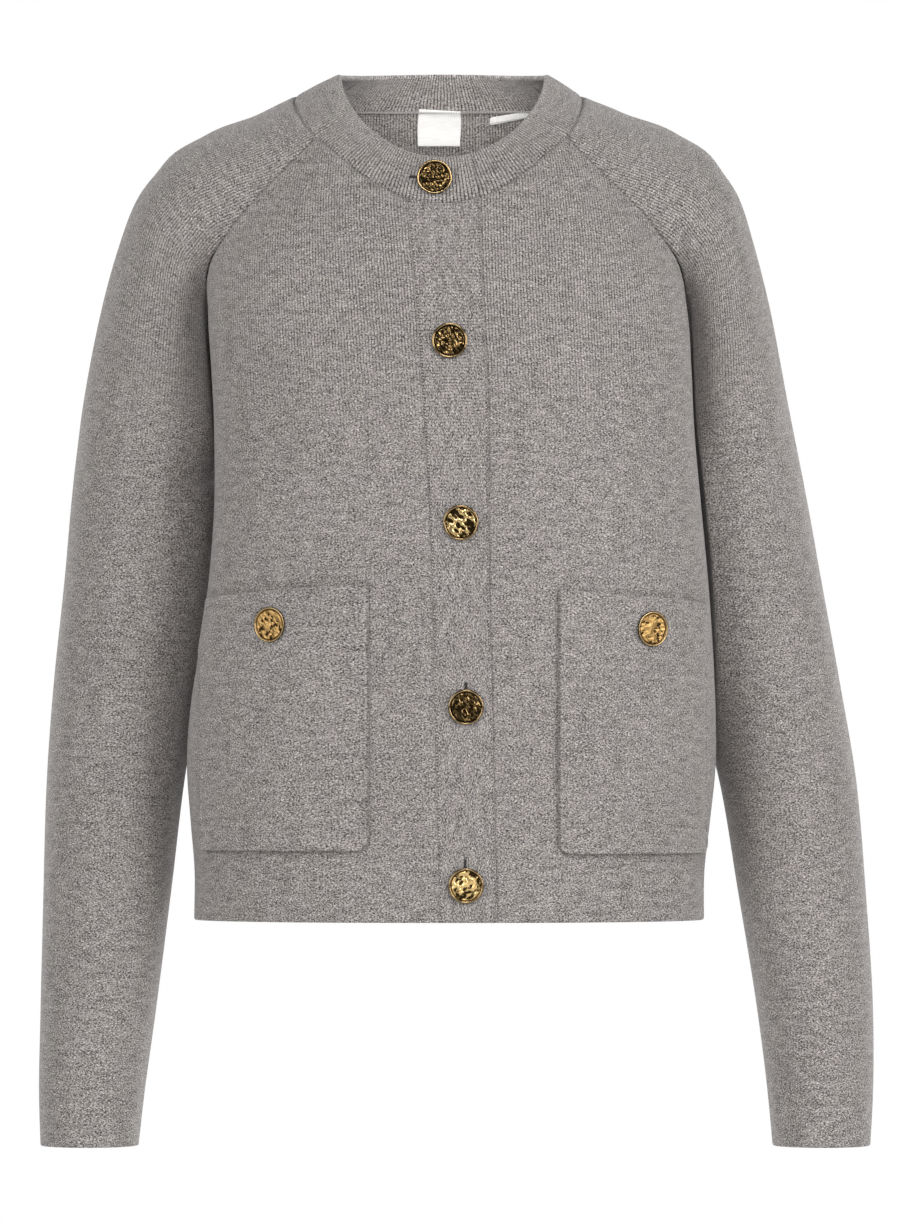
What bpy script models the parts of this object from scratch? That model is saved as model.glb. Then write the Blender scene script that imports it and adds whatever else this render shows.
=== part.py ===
"""Button cardigan: raglan knit jacket, filled out and hollow, with every sewn piece its own solid.

Lengths in the tables are millimetres and are turned into metres by MM where an object is made.
+Z is up and the front faces -Y. The origin is the middle of the neck, level with the shoulder
seams, which is where a wearer's shoulders hold the garment up. "Right" and "left" are the wearer's:
the right side of the garment lies at -X.
"""

import math
from collections import namedtuple

import bpy
import numpy as np
from mathutils import Vector

MM = 0.001

# ---------------------------------------------------------------- driving dimensions, mm and degrees
WALL = 2.6  # felted wool jersey
SEAM_GAP = 0.4  # clearance between sewn pieces
BAND_WALL = 3.4  # folded front bands
UNDERBAND_WALL = 3.0
COLLAR_WALL = 3.8  # folded neck band
OVERLAP = 0.4  # clearance between the top band and the band under it
UNDERARM_Z = -213.0
HEM_Z = -536.0
HEM_DOWN = 2.0  # the level of the hem and of the cuffs
OVAL_POWER = 0.93  # 1 is an ellipse; lower is squarer
RIGHT, LEFT = -1, 1

# The torso is a stack of ovals, from the neck seam (down 0) past the underarm (1) to the hem (2).
# front_z and back_z are the heights on the centre lines, front_seam_z and back_seam_z where a row
# meets the raglan or side seam; the turns are the angles round the oval from centre front and
# centre back to that seam; lean is the sideways shift of the hanging garment. front_lift straightens
# a front row on its way up to the seam.
Torso = namedtuple(
    "Torso",
    "down front_z front_seam_z back_z back_seam_z half_width widest_y front_y back_y"
    " front_turn back_turn lean front_lift",
)
TORSO = (
    Torso(0.00, -66, -22, 1, 3, 98, 0, -92, 88, 56, 53, -1.0, 0.6),
    Torso(0.15, -80, -47, -18, -14, 122, -8, -100, 93, 61, 46, -1.0, 0.4),
    Torso(0.30, -100, -71, -45, -41, 143, -18, -108, 97, 66, 44, 0.0, 0.2),
    Torso(0.42, -116, -90, -69, -64, 154, -26, -113, 99, 74, 44, 0.0, 0.0),
    Torso(0.50, -128, -103, -85, -80, 157, -30, -116, 100, 84, 46, 0.5, 0.0),
    Torso(0.65, -152, -137, -118, -115, 158, -34, -120, 101, 98, 51, 3.0, 0.0),
    Torso(0.82, -181, -175, -164, -163, 158, -36, -123, 100, 107, 59, 5.5, 0.0),
    Torso(1.00, -213, -213, -213, -213, 158, -36, -125, 98, 112, 68, 7.5, 0.0),
    Torso(1.15, -261, -261, -261, -261, 160, -35, -126, 95, 110, 70, 10.0, 0.0),
    Torso(1.30, -310, -310, -310, -310, 164, -31, -125, 94, 106, 74, 10.5, 0.0),
    Torso(1.45, -358, -358, -358, -358, 169, -27, -123, 96, 104, 76, 8.5, 0.0),
    Torso(1.58, -400, -400, -400, -400, 173, -22, -121, 100, 102, 78, 6.0, 0.0),
    Torso(1.68, -433, -433, -433, -433, 174, -19, -120, 102, 101, 79, 5.0, 0.0),
    Torso(1.80, -471, -471, -471, -471, 171, -16, -119, 103, 100, 80, 4.5, 0.0),
    Torso(1.90, -504, -504, -504, -504, 168, -14, -118, 104, 100, 80, 4.3, 0.0),
    Torso(2.00, -536, -536, -536, -536, 168, -12, -117, 104, 100, 80, 4.3, 0.0),
)

# Each sleeve is a stack of rings, from the neck (down 0) past the underarm (1) to the cuff (2).
# crest_* is the ring's outermost point. Above the underarm a ring is open and ends on the raglan
# seams; below it the ring closes at inner_x. depth is half its size from front to back, open_power
# shapes the arc, and lean shifts the pair sideways.
Sleeve = namedtuple(
    "Sleeve", "down crest_x crest_y crest_z inner_x inner_y inner_z depth open_power lean"
)
SLEEVE_CLEARANCE = 2.6  # between a hanging sleeve and the torso's side
SLEEVE_CLEAR_COLUMNS = 1  # the clearance opens over this many columns from a raglan seam
PRESS_FROM = 0.55  # above this level the sleeve's cap lies outside the torso
SLEEVE = (
    Sleeve(0.00, 95, 2, 5, 0, 0, 0, 0, 1.35, -3.0),
    Sleeve(0.15, 122.5, 3, -6.5, 0, 0, 0, 2, 1.35, -1.5),
    Sleeve(0.30, 158, 4, -12.5, 0, 0, 0, 6, 1.35, -1.0),
    Sleeve(0.42, 182, 5, -25, 0, 0, 0, 14, 1.4, -1.7),
    Sleeve(0.50, 190, 6, -41, 0, 0, 0, 22, 1.5, -2.4),
    Sleeve(0.65, 204, 9, -76, 0, 0, 0, 38, 1.65, -3.6),
    Sleeve(0.82, 220, 15, -130, 0, 0, 0, 50, 1.85, -4.2),
    Sleeve(1.00, 235, 21, -206, 150, 15, -213, 57, 2.0, -4.6),
    Sleeve(1.12, 243, 25, -256, 143, 22, -260, 57, 2.0, -3.0),
    Sleeve(1.25, 250.5, 27, -312, 150, 25, -315, 56, 2.0, -0.5),
    Sleeve(1.40, 260, 25, -380, 163, 25, -382, 54, 2.0, 2.6),
    Sleeve(1.55, 267.5, 18, -445, 177, 19, -446, 51, 2.0, 5.9),
    Sleeve(1.70, 271.5, 10, -515, 187, 11, -516, 48, 2.0, 7.6),
    Sleeve(1.85, 275, 0, -600, 199, 1, -600, 44, 2.0, 9.0),
    Sleeve(1.95, 275, -8, -655, 206, -7, -655, 41, 2.0, 8.6),
    Sleeve(2.00, 273.5, -12, -685, 209, -11, -685, 39, 2.0, 8.3),
)

# The front bands, by height: the seam that joins the top band to the right front, and its free edge.
Band = namedtuple("Band", "z seam_x edge_x")
BAND = (
    Band(-60, -24.0, 24.0),
    Band(-125, -18.0, 26.0),
    Band(-190, -13.5, 29.5),
    Band(-290, -8.0, 30.0),
    Band(-400, -5.5, 32.5),
    Band(-536, -2.0, 35.5),
)
UNDERBAND_SHIFT = 2.0  # the lower band's free edge lies this far inside the top band's seam
STEP_REACH = 32.0  # the left front rises back to the full outline over this width

# Collar: a folded band from the neck seam up to its fold.
COLLAR_FOLD_HALF_WIDTH = 68.0
COLLAR_FOLD_FRONT_Y = -78.0
COLLAR_FOLD_BACK_Y = 79.0
COLLAR_FOLD_BACK_Z = 22.0
COLLAR_FOLD_BACK_RISE = 3.0  # the fold is this much higher at the centre back than at the sides
COLLAR_FOLD_FRONT_Z = -35.0
COLLAR_FOLD_WALL = 1.8  # thickness at the rounded fold
COLLAR_DROP_POWER = 1.25  # how late the fold dips towards the front
COLLAR_SWELL = 1.0  # the band's face is slightly crowned
COLLAR_ROWS = (0.0, 0.5, 0.93, 1.0)  # from the seam to the fold
COLLAR_SEAM_GAP = 0.5

# Patch pockets: where the inner and outer sides lie at the bottom and top, the heights of the top
# at each side and of the bottom, and the width along the cloth.
Pocket = namedtuple(
    "Pocket", "name side inner_x outer_x inner_top_z outer_top_z bottom_z width"
)
POCKETS = (
    Pocket("pocket_right", RIGHT, -48.0, -157.0, -315.0, -325.0, -489.0, 132.0),
    Pocket("pocket_left", LEFT, 75.0, 171.0, -319.0, -328.0, -491.0, 136.0),
)
POCKET_CORNER = 7.0
POCKET_CORNER_TURNS = (0, 30, 60, 90)
POCKET_CLEARANCE = 0.8
POCKET_MOST_TURN = 80.0  # no pocket reaches further round the side

# Buttons: hammered metal discs with a raised rim.
BUTTON_RADIUS = 11.6
BUTTON_THICK = 2.4
BUTTON_DOME = 0.4
BUTTON_DOME_SHOULDER = 0.75  # share of the dome's height that is left at half the radius
BUTTON_CLEARANCE = 0.4
RIM_WIDTH = 1.0
RIM_HEIGHT = 0.5
RIM_BEVEL = 0.3
RIM_EDGE = 0.4
BACK_BEVEL = 1.2
BACK_EDGE = 0.6
Button = namedtuple("Button", "name x z")
FRONT_BUTTONS = (
    Button("button_2", 4.6, -156.5),
    Button("button_3", 11.9, -275.0),
    Button("button_4", 15.2, -395.0),
    Button("button_5", 15.2, -511.5),
)
POCKET_BUTTONS = (
    Button("button_pocket_right", -110.5, -341.5),
    Button("button_pocket_left", 134.5, -344.0),
)
COLLAR_BUTTON = Button("button_1", -5.3, -49.6)
COLLAR_BUTTON_UPRIGHT = 0.8  # how far the top button turns from the sloping collar to the front

# Labels inside the back neck: a woven square and a folded strip.
LABEL_WALL = 0.6
LABEL_CLEARANCE = 0.9
LABEL_ROWS, LABEL_COLUMNS = 3, 4
Label = namedtuple("Label", "name x0 x1 top_down bottom_down")
LABELS = (
    Label("label_neck", -16.5, 12.0, 0.01, 0.20),
    Label("label_care", 33.0, 55.0, 0.01, 0.08),
)

# Mesh steps
YOKE_STEPS = 9
TORSO_STEPS = 11
ARM_STEPS = 12
FRONT_COLUMNS = 16
BACK_COLUMNS = 18
SLEEVE_COLUMNS = 18
BAND_COLUMNS = 3
COLLAR_LAP_COLUMNS = 5
POCKET_ROWS = 10
POCKET_COLUMNS = 16
BUTTON_SEGMENTS = 20
DOWN_STEP = 0.005  # a small step of level, for directions
HALVINGS = 30
SHARP_ANGLE = 50.0

# Easing of the upper raglan seams, and the longest mitre at a seam, in wall thicknesses
RELAX_ROUNDS = 6
RELAX_SHARE = 0.5
RELAX_TO = 0.62
RELAX_FADE = 0.25
MOST_MITRE = 2.2
OWN_WALL_BELOW = 0.8  # in a sharper fold than this, each panel's wall stands square to itself
WELD_OFFSET = 0.137  # keeps shared points off the rounding steps that weld them


# ---------------------------------------------------------------- tables read as smooth curves
def read(table, key, at):
    """The table's row at a value of its first column, on a smooth curve through its rows."""
    keys = np.array([row[0] for row in table], float)
    rows = np.array(table, float)
    slopes = np.gradient(rows, keys, axis=0)
    i = int(np.clip(np.searchsorted(keys, at) - 1, 0, len(keys) - 2))
    span = keys[i + 1] - keys[i]
    t = float(np.clip((at - keys[i]) / span, 0, 1))
    h00, h10 = 2 * t**3 - 3 * t**2 + 1, t**3 - 2 * t**2 + t
    h01, h11 = -2 * t**3 + 3 * t**2, t**3 - t**2
    value = h00 * rows[i] + h10 * span * slopes[i] + h01 * rows[i + 1] + h11 * span * slopes[i + 1]
    return key(*value)


def torso_row(down):
    """The torso's measures at one level; below the underarm a row is flat and meets the side seam."""
    row = read(TORSO, Torso, down)
    if down < 1:
        return row
    z = UNDERARM_Z + (HEM_Z - UNDERARM_Z) * (down - 1)
    return row._replace(
        front_z=z, front_seam_z=z, back_z=z, back_seam_z=z, back_turn=180 - row.front_turn
    )


def band_at(z):
    rising = tuple(reversed(BAND))
    return read(rising, Band, min(max(z, HEM_Z), BAND[0].z))


def down_of(z):
    """How far down the torso table a height below the underarm lies."""
    return 1 + (UNDERARM_Z - z) / (UNDERARM_Z - HEM_Z)


def down_where(height_of, z):
    """The level at which a height of the torso table passes z."""
    low, high = 0.0, HEM_DOWN
    for _ in range(HALVINGS):
        middle = (low + high) / 2
        if height_of(torso_row(middle)) > z:
            low = middle
        else:
            high = middle
    return low


def power(value):
    return math.copysign(abs(value) ** OVAL_POWER, value)


# ---------------------------------------------------------------- the torso's surface
def front_point(down, turn, side):
    """A point of the fronts: turn degrees round from centre front, on one side."""
    row = torso_row(down)
    angle = math.radians(turn)
    half_depth = row.widest_y - row.front_y if turn <= 90 else row.back_y - row.widest_y
    rise = (1 - math.cos(angle)) / (1 - math.cos(math.radians(row.front_turn)))
    rise *= 1 + row.front_lift * (1 - rise)
    return np.array(
        (
            side * row.half_width * power(math.sin(angle)) + row.lean,
            row.widest_y - half_depth * power(math.cos(angle)),
            row.front_z + (row.front_seam_z - row.front_z) * rise,
        )
    )


def back_point(down, turn, side):
    """A point of the back: turn degrees round from centre back."""
    row = torso_row(down)
    angle = math.radians(turn)
    rise = (1 - math.cos(angle)) / (1 - math.cos(math.radians(row.back_turn)))
    return np.array(
        (
            side * row.half_width * power(math.sin(angle)) + row.lean,
            row.widest_y + (row.back_y - row.widest_y) * power(math.cos(angle)),
            row.back_z + (row.back_seam_z - row.back_z) * rise,
        )
    )


def turn_at(down, x):
    """The turn from centre front at which the front lies at x."""
    row = torso_row(down)
    share = min(abs(x - row.lean) / row.half_width, 1.0)
    return math.copysign(math.degrees(math.asin(share ** (1 / OVAL_POWER))), x - row.lean)


def front_signed(down, signed_turn):
    """The same point, with the side given by the turn's sign."""
    return front_point(down, abs(signed_turn), LEFT if signed_turn >= 0 else RIGHT)


def back_signed(down, signed_turn):
    return back_point(down, abs(signed_turn), LEFT if signed_turn >= 0 else RIGHT)


def outward(surface, down, signed_turn):
    """The outward direction of a surface whose turns run towards the wearer's left."""
    across = surface(down, signed_turn + 1) - surface(down, signed_turn - 1)
    above = surface(max(down - DOWN_STEP, 0.0), signed_turn)
    below = surface(min(down + DOWN_STEP, HEM_DOWN), signed_turn)
    normal = np.cross(across, above - below)
    if surface is back_signed:
        normal = -normal
    return normal / np.linalg.norm(normal)


def sunk(x, edge_x, depth):
    """How far the left side lies below the full outline, beside or under the top band."""
    t = min(max((x - edge_x) / STEP_REACH, 0.0), 1.0)
    return depth * (1 - t * t * (3 - 2 * t))


# ---------------------------------------------------------------- panel grids
def downs():
    yoke = [i / YOKE_STEPS for i in range(YOKE_STEPS)]
    return yoke + [1 + i / TORSO_STEPS for i in range(TORSO_STEPS + 1)]


def front_grid(side):
    """Rows from the neck to the hem, columns from the band to the raglan or side seam."""
    rows = []
    for down in downs():
        row = torso_row(down)
        band = band_at(row.front_z)
        edge_x = band.seam_x if side == RIGHT else band.edge_x + SEAM_GAP
        start = turn_at(down, edge_x)
        turns = np.linspace(start, side * row.front_turn, FRONT_COLUMNS + 1)
        points = []
        for turn in turns:
            point = front_signed(down, turn)
            if side == LEFT:
                depth = sunk(point[0], edge_x, BAND_WALL + OVERLAP)
                point = point - depth * outward(front_signed, down, turn)
            points.append(point)
        rows.append(points)
    return np.array(rows)


def back_grid():
    rows = []
    for down in downs():
        limit = torso_row(down).back_turn
        turns = np.linspace(-limit, limit, BACK_COLUMNS + 1)
        rows.append([back_point(down, abs(t), RIGHT if t < 0 else LEFT) for t in turns])
    return np.array(rows)


def torso_side_x(down, y):
    """How far out the torso's oval reaches at one level and depth."""
    row = torso_row(down)
    reach = row.widest_y - row.front_y if y < row.widest_y else row.back_y - row.widest_y
    share = min(abs(y - row.widest_y) / reach, 1.0) ** (1 / OVAL_POWER)
    return row.half_width * power(math.sqrt(1 - share**2))


def clear_of_torso(point, side, seam_distance, back_half):
    """The point moved straight out, where the torso's side would press into the sleeve."""
    seam_z = "back_seam_z" if back_half else "front_seam_z"
    down = down_where(lambda row: getattr(row, seam_z), point[2])
    clearance = SLEEVE_CLEARANCE * min(seam_distance / SLEEVE_CLEAR_COLUMNS, 1.0)
    limit = torso_side_x(down, point[1]) + clearance + side * torso_row(down).lean
    if side * point[0] < limit:
        point = np.array((side * limit, point[1], point[2]))
    return point


def sleeve_ring(down, side):
    """One ring of a sleeve, from its front seam over the crest to its back seam."""
    row = read(SLEEVE, Sleeve, down)
    crest = np.array((side * row.crest_x + row.lean, row.crest_y, row.crest_z))
    if down < 1:
        torso = torso_row(down)
        front = front_point(down, torso.front_turn, side)
        back = back_point(down, torso.back_turn, side)
    elif down == 1:
        front = back = front_point(1, torso_row(1).front_turn, side)
    else:
        front = back = np.array((side * row.inner_x + row.lean, row.inner_y, row.inner_z))
    middle = (front + back) / 2
    toward_back = np.array((0.0, 1.0, 0.0))
    points = []
    for i in range(SLEEVE_COLUMNS + 1):
        s = -1 + 2 * i / SLEEVE_COLUMNS
        points.append(
            middle
            + (back - front) / 2 * math.sin(math.pi * s / 2)
            + row.depth * math.sin(math.pi * s) * toward_back
            + (crest - middle) * abs(math.cos(math.pi * s / 2)) ** row.open_power
        )
    if down > PRESS_FROM:
        for i in range(1, SLEEVE_COLUMNS):
            distance = SLEEVE_CLEAR_COLUMNS if down > 1 else min(i, SLEEVE_COLUMNS - i)
            points[i] = clear_of_torso(points[i], side, distance, 2 * i > SLEEVE_COLUMNS)
    if down > 1:
        front = back = clear_of_torso(front, side, SLEEVE_CLEAR_COLUMNS, False)
    points[0], points[-1] = front, back
    return points


def sleeve_grid(side):
    cap = [i / YOKE_STEPS for i in range(YOKE_STEPS)]
    arm = [1 + i / ARM_STEPS for i in range(ARM_STEPS + 1)]
    return np.array([sleeve_ring(down, side) for down in cap + arm])


# ---------------------------------------------------------------- cloth: shared points and walls
class Cloth:
    """Panels whose matching points are shared, so that seams can be smoothed and mitred as one."""

    def __init__(self, grids):
        self.names = list(grids)
        flat = np.concatenate([grid.reshape(-1, 3) for grid in grids.values()])
        _, first, index = np.unique(
            np.round(flat * 100 + WELD_OFFSET).astype(int), axis=0, return_index=True, return_inverse=True
        )
        self.points = flat[first]
        self.index = {}
        start = 0
        for name, grid in grids.items():
            count = grid.shape[0] * grid.shape[1]
            self.index[name] = index.reshape(-1)[start : start + count].reshape(grid.shape[:2])
            start += count

    def quads(self):
        """Every quad, with its corners turning so that it faces out."""
        found = []
        for name in self.names:
            ids = self.index[name]
            corners = (ids[:-1, :-1], ids[1:, :-1], ids[1:, 1:], ids[:-1, 1:])
            quads = np.stack([c.reshape(-1) for c in corners], axis=1)
            found.append(quads if FACES_OUT[name] else quads[:, ::-1])
        return np.concatenate(found)

    def inward(self):
        """At each point, the step that lies 1 below every panel that meets there."""
        quads = self.quads()
        corner = self.points[quads]
        face = np.cross(corner[:, 2] - corner[:, 0], corner[:, 3] - corner[:, 1])
        face /= np.linalg.norm(face, axis=1, keepdims=True)
        total = np.zeros_like(self.points)
        for k in range(4):
            np.add.at(total, quads[:, k], face)
        normal = total / np.linalg.norm(total, axis=1, keepdims=True)
        agreement = np.zeros(len(self.points))
        count = np.bincount(quads.reshape(-1), minlength=len(self.points))
        for k in range(4):
            np.add.at(agreement, quads[:, k], (face * normal[quads[:, k]]).sum(axis=1))
        mitre = 1 / np.clip(agreement / count, 1 / MOST_MITRE, 1.0)
        return -normal * mitre[:, None]

    def relax(self, weight, rounds):
        """Moves each point towards the middle of its neighbours, by its own weight."""
        quads = self.quads()
        pairs = np.concatenate([quads[:, [k, (k + 1) % 4]] for k in range(4)])
        pairs = np.unique(np.sort(pairs, axis=1), axis=0)
        pairs = pairs[pairs[:, 0] != pairs[:, 1]]
        both = np.concatenate([pairs, pairs[:, ::-1]])
        count = np.bincount(both[:, 0], minlength=len(self.points))[:, None]
        for _ in range(rounds):
            total = np.zeros_like(self.points)
            np.add.at(total, both[:, 0], self.points[both[:, 1]])
            middle = total / np.maximum(count, 1)
            self.points = self.points + weight[:, None] * (middle - self.points)

    def grid(self, name):
        return self.points[self.index[name]]


FACES_OUT = {
    "front_right": False,
    "front_left": True,
    "back": False,
    "sleeve_right": False,
    "sleeve_left": True,
}


def pull_in(grid, amount, rows=True, columns_to=None):
    """The grid with its outer rows and columns moved in along the cloth, to clear the seams."""
    out = grid.copy()
    for edge, inner in ((0, 1), (-1, -2)):
        if rows:
            step = grid[inner] - grid[edge]
            out[edge] += amount * step / np.linalg.norm(step, axis=1, keepdims=True)
        step = (grid[:, inner] - grid[:, edge])[:columns_to]
        out[:columns_to, edge] += amount * step / np.linalg.norm(step, axis=1, keepdims=True)
    return out


def grid_normals(grid):
    """The direction square to a grid at each point, with rows down and columns to the wearer's left."""
    down = np.gradient(grid, axis=0)
    across = np.gradient(grid, axis=1)
    normal = np.cross(across, -down)
    return normal / np.linalg.norm(normal, axis=2, keepdims=True)


def wall_object(name, outer, inner, joined_from=None):
    """One closed wall between two grids. From row joined_from on, the last column is the first."""
    rows, columns = outer.shape[:2]
    sheet = rows * columns
    ids = np.arange(sheet).reshape(rows, columns)
    if joined_from is not None:
        ids[joined_from:, -1] = ids[joined_from:, 0]
    faces = []
    for i in range(rows - 1):
        for j in range(columns - 1):
            quad = [ids[i, j], ids[i + 1, j], ids[i + 1, j + 1], ids[i, j + 1]]
            faces.append(quad)
            faces.append([corner + sheet for corner in reversed(quad)])
    rim = [(ids[0, j], ids[0, j + 1]) for j in range(columns - 1)]
    rim += [(ids[-1, j + 1], ids[-1, j]) for j in range(columns - 1)]
    open_rows = (rows if joined_from is None else joined_from + 1) - 1
    rim += [(ids[i + 1, 0], ids[i, 0]) for i in range(open_rows)]
    rim += [(ids[i, -1], ids[i + 1, -1]) for i in range(open_rows)]
    faces += [[a, b, b + sheet, a + sheet] for a, b in rim]
    points = np.concatenate([outer.reshape(-1, 3), inner.reshape(-1, 3)])
    corner = points[np.array(faces)]
    volume = (np.cross(corner[:, 0], corner[:, 1]) * corner[:, 2]).sum()
    volume += (np.cross(corner[:, 0], corner[:, 2]) * corner[:, 3]).sum()
    if volume < 0:
        faces = [face[::-1] for face in faces]
    used, new_ids = np.unique(np.array(faces), return_inverse=True)
    mesh = bpy.data.meshes.new(name)
    mesh.from_pydata((points[used] * MM).tolist(), [], new_ids.reshape(-1, 4).tolist())
    mesh.shade_smooth()
    mesh.set_sharp_from_angle(angle=math.radians(SHARP_ANGLE))
    return bpy.data.objects.new(name, mesh)


# ---------------------------------------------------------------- the main panels
def relax_weights(cloth):
    """Only the upper raglan seams are eased; the armpit folds and every open edge stay."""
    weight = np.zeros(len(cloth.points))
    for name in cloth.names:
        ids = cloth.index[name]
        columns = ids.shape[1] - 1
        for i, down in enumerate(downs()[: YOKE_STEPS + 1]):
            if down == 0:
                continue
            fade = min(max((RELAX_TO - down) / RELAX_FADE, 0.0), 1.0)
            for j in range(columns + 1):
                if name.startswith("front"):
                    near = (j / columns) ** 2
                elif name == "back":
                    near = abs(2 * j / columns - 1) ** 2
                else:
                    near = 1.0
                weight[ids[i, j]] = max(weight[ids[i, j]], RELAX_SHARE * fade * near)
    for name in cloth.names:
        ids = cloth.index[name]
        weight[ids[0]] = 0
        if name.startswith("front"):
            weight[ids[:, 0]] = 0
    return weight


def make_cloth():
    cloth = Cloth(
        {
            "front_right": front_grid(RIGHT),
            "front_left": front_grid(LEFT),
            "back": back_grid(),
            "sleeve_right": sleeve_grid(RIGHT),
            "sleeve_left": sleeve_grid(LEFT),
        }
    )
    cloth.relax(relax_weights(cloth), RELAX_ROUNDS)
    return cloth


def panel_objects(cloth):
    inward = cloth.inward()
    for name in cloth.names:
        outer = cloth.grid(name)
        shared = inward[cloth.index[name]]
        own = grid_normals(outer) * (-1 if FACES_OUT[name] else 1)
        agreement = (own * shared).sum(axis=2) / np.linalg.norm(shared, axis=2)
        step = np.where((agreement < OWN_WALL_BELOW)[..., None], own, shared)
        inner = outer + WALL * step
        sleeve = name.startswith("sleeve")
        joined_from = YOKE_STEPS if sleeve else None
        yield wall_object(
            name,
            pull_in(outer, SEAM_GAP / 2, columns_to=joined_from),
            pull_in(inner, SEAM_GAP / 2, columns_to=joined_from),
            joined_from,
        )


# ---------------------------------------------------------------- bands and collar
def band_object(name, start_of, end_of, depth, wall):
    """A band down the front between two edges, its outer face depth below the full outline."""
    outer, inner = [], []
    for down in downs():
        band = band_at(torso_row(down).front_z)
        start, end = turn_at(down, start_of(band)), turn_at(down, end_of(band))
        turns = np.linspace(start, end, BAND_COLUMNS + 1)
        points = np.array([front_signed(down, turn) for turn in turns])
        normals = np.array([outward(front_signed, down, turn) for turn in turns])
        outer.append(points - depth * normals)
        inner.append(points - (depth + wall) * normals)
    outer, inner = np.array(outer), np.array(inner)
    return wall_object(name, pull_in(outer, SEAM_GAP), pull_in(inner, SEAM_GAP))


# The panels in their order round the neck from the left front, and the way their columns run
ROUND_THE_NECK = (
    ("front_left", 1),
    ("sleeve_left", 1),
    ("back", -1),
    ("sleeve_right", -1),
    ("front_right", -1),
)


def collar_fold_point(bottom, sink):
    """The point of the collar's folded edge above a point of the neck seam."""
    row = torso_row(0)
    across = bottom[0] / row.half_width
    depth = -bottom[1] / (-row.front_y if bottom[1] < 0 else row.back_y)
    length = math.hypot(across, depth)
    across, depth = across / length, depth / length
    fold_y = COLLAR_FOLD_FRONT_Y if depth > 0 else COLLAR_FOLD_BACK_Y
    drop = (COLLAR_FOLD_BACK_Z - COLLAR_FOLD_FRONT_Z) * max(depth, 0.0) ** COLLAR_DROP_POWER
    rise = COLLAR_FOLD_BACK_RISE * min(depth, 0.0) ** 2
    point = np.array(
        (
            COLLAR_FOLD_HALF_WIDTH * across,
            fold_y * abs(depth),
            COLLAR_FOLD_BACK_Z - drop + rise,
        )
    )
    flat = np.array((across, -depth, 0.0))
    return point - sink * flat / np.linalg.norm(flat)


def collar_object(cloth):
    """One folded band along the neck seam; its right end laps over its left end at the front."""
    band = band_at(torso_row(0).front_z)
    step = COLLAR_WALL + OVERLAP
    under = [
        front_signed(0, turn_at(0, x)) - step * outward(front_signed, 0, turn_at(0, x))
        for x in np.linspace(band.seam_x + UNDERBAND_SHIFT, band.edge_x, COLLAR_LAP_COLUMNS)
    ]
    over = [
        front_signed(0, turn_at(0, x))
        for x in np.linspace(band.seam_x, band.edge_x, COLLAR_LAP_COLUMNS)
    ]
    lap_normals = [
        outward(front_signed, 0, turn_at(0, x))
        for x in np.linspace(band.seam_x, band.edge_x, COLLAR_LAP_COLUMNS)
    ]
    ids = np.concatenate([cloth.index[name][0][::step][1:] for name, step in ROUND_THE_NECK])
    inward = cloth.inward()[ids]
    outwards = -inward / np.linalg.norm(inward, axis=1, keepdims=True)
    rim = np.concatenate([lap_normals, outwards, lap_normals[1:]])
    seam = np.concatenate([under, cloth.points[ids], over[1:]])
    columns = []
    for i, bottom in enumerate(seam):
        on_left = i < len(under) + FRONT_COLUMNS
        sink = sunk(bottom[0], band.edge_x, step) if on_left else 0.0
        fold = collar_fold_point(bottom, sink)
        columns.append([bottom + (fold - bottom) * share for share in COLLAR_ROWS])
    middle = np.array(columns).transpose(1, 0, 2)[::-1]
    normals = grid_normals(middle)
    wall = np.array([COLLAR_FOLD_WALL] + [COLLAR_WALL] * (len(COLLAR_ROWS) - 1))[:, None, None]
    swell = COLLAR_SWELL * np.sin(math.pi * np.array(COLLAR_ROWS))[::-1, None, None]
    sides = (COLLAR_WALL - wall) / 2
    outer = middle + (swell - sides) * normals
    inner = outer - wall * normals
    inner[-1] = outer[-1] - COLLAR_WALL * rim
    rise = outer[-2] - outer[-1]
    rise *= COLLAR_SEAM_GAP / np.linalg.norm(rise, axis=1, keepdims=True)
    outer[-1] += rise
    inner[-1] += rise
    return wall_object("collar", outer, inner), outer


# ---------------------------------------------------------------- pockets and labels
def sample(grid, row, column):
    """A point of a grid at a fractional row and column."""
    i = int(min(max(math.floor(row), 0), grid.shape[0] - 2))
    j = int(min(max(math.floor(column), 0), grid.shape[1] - 2))
    r, c = row - i, column - j
    upper = grid[i, j] * (1 - c) + grid[i, j + 1] * c
    lower = grid[i + 1, j] * (1 - c) + grid[i + 1, j + 1] * c
    return upper * (1 - r) + lower * r


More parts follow.
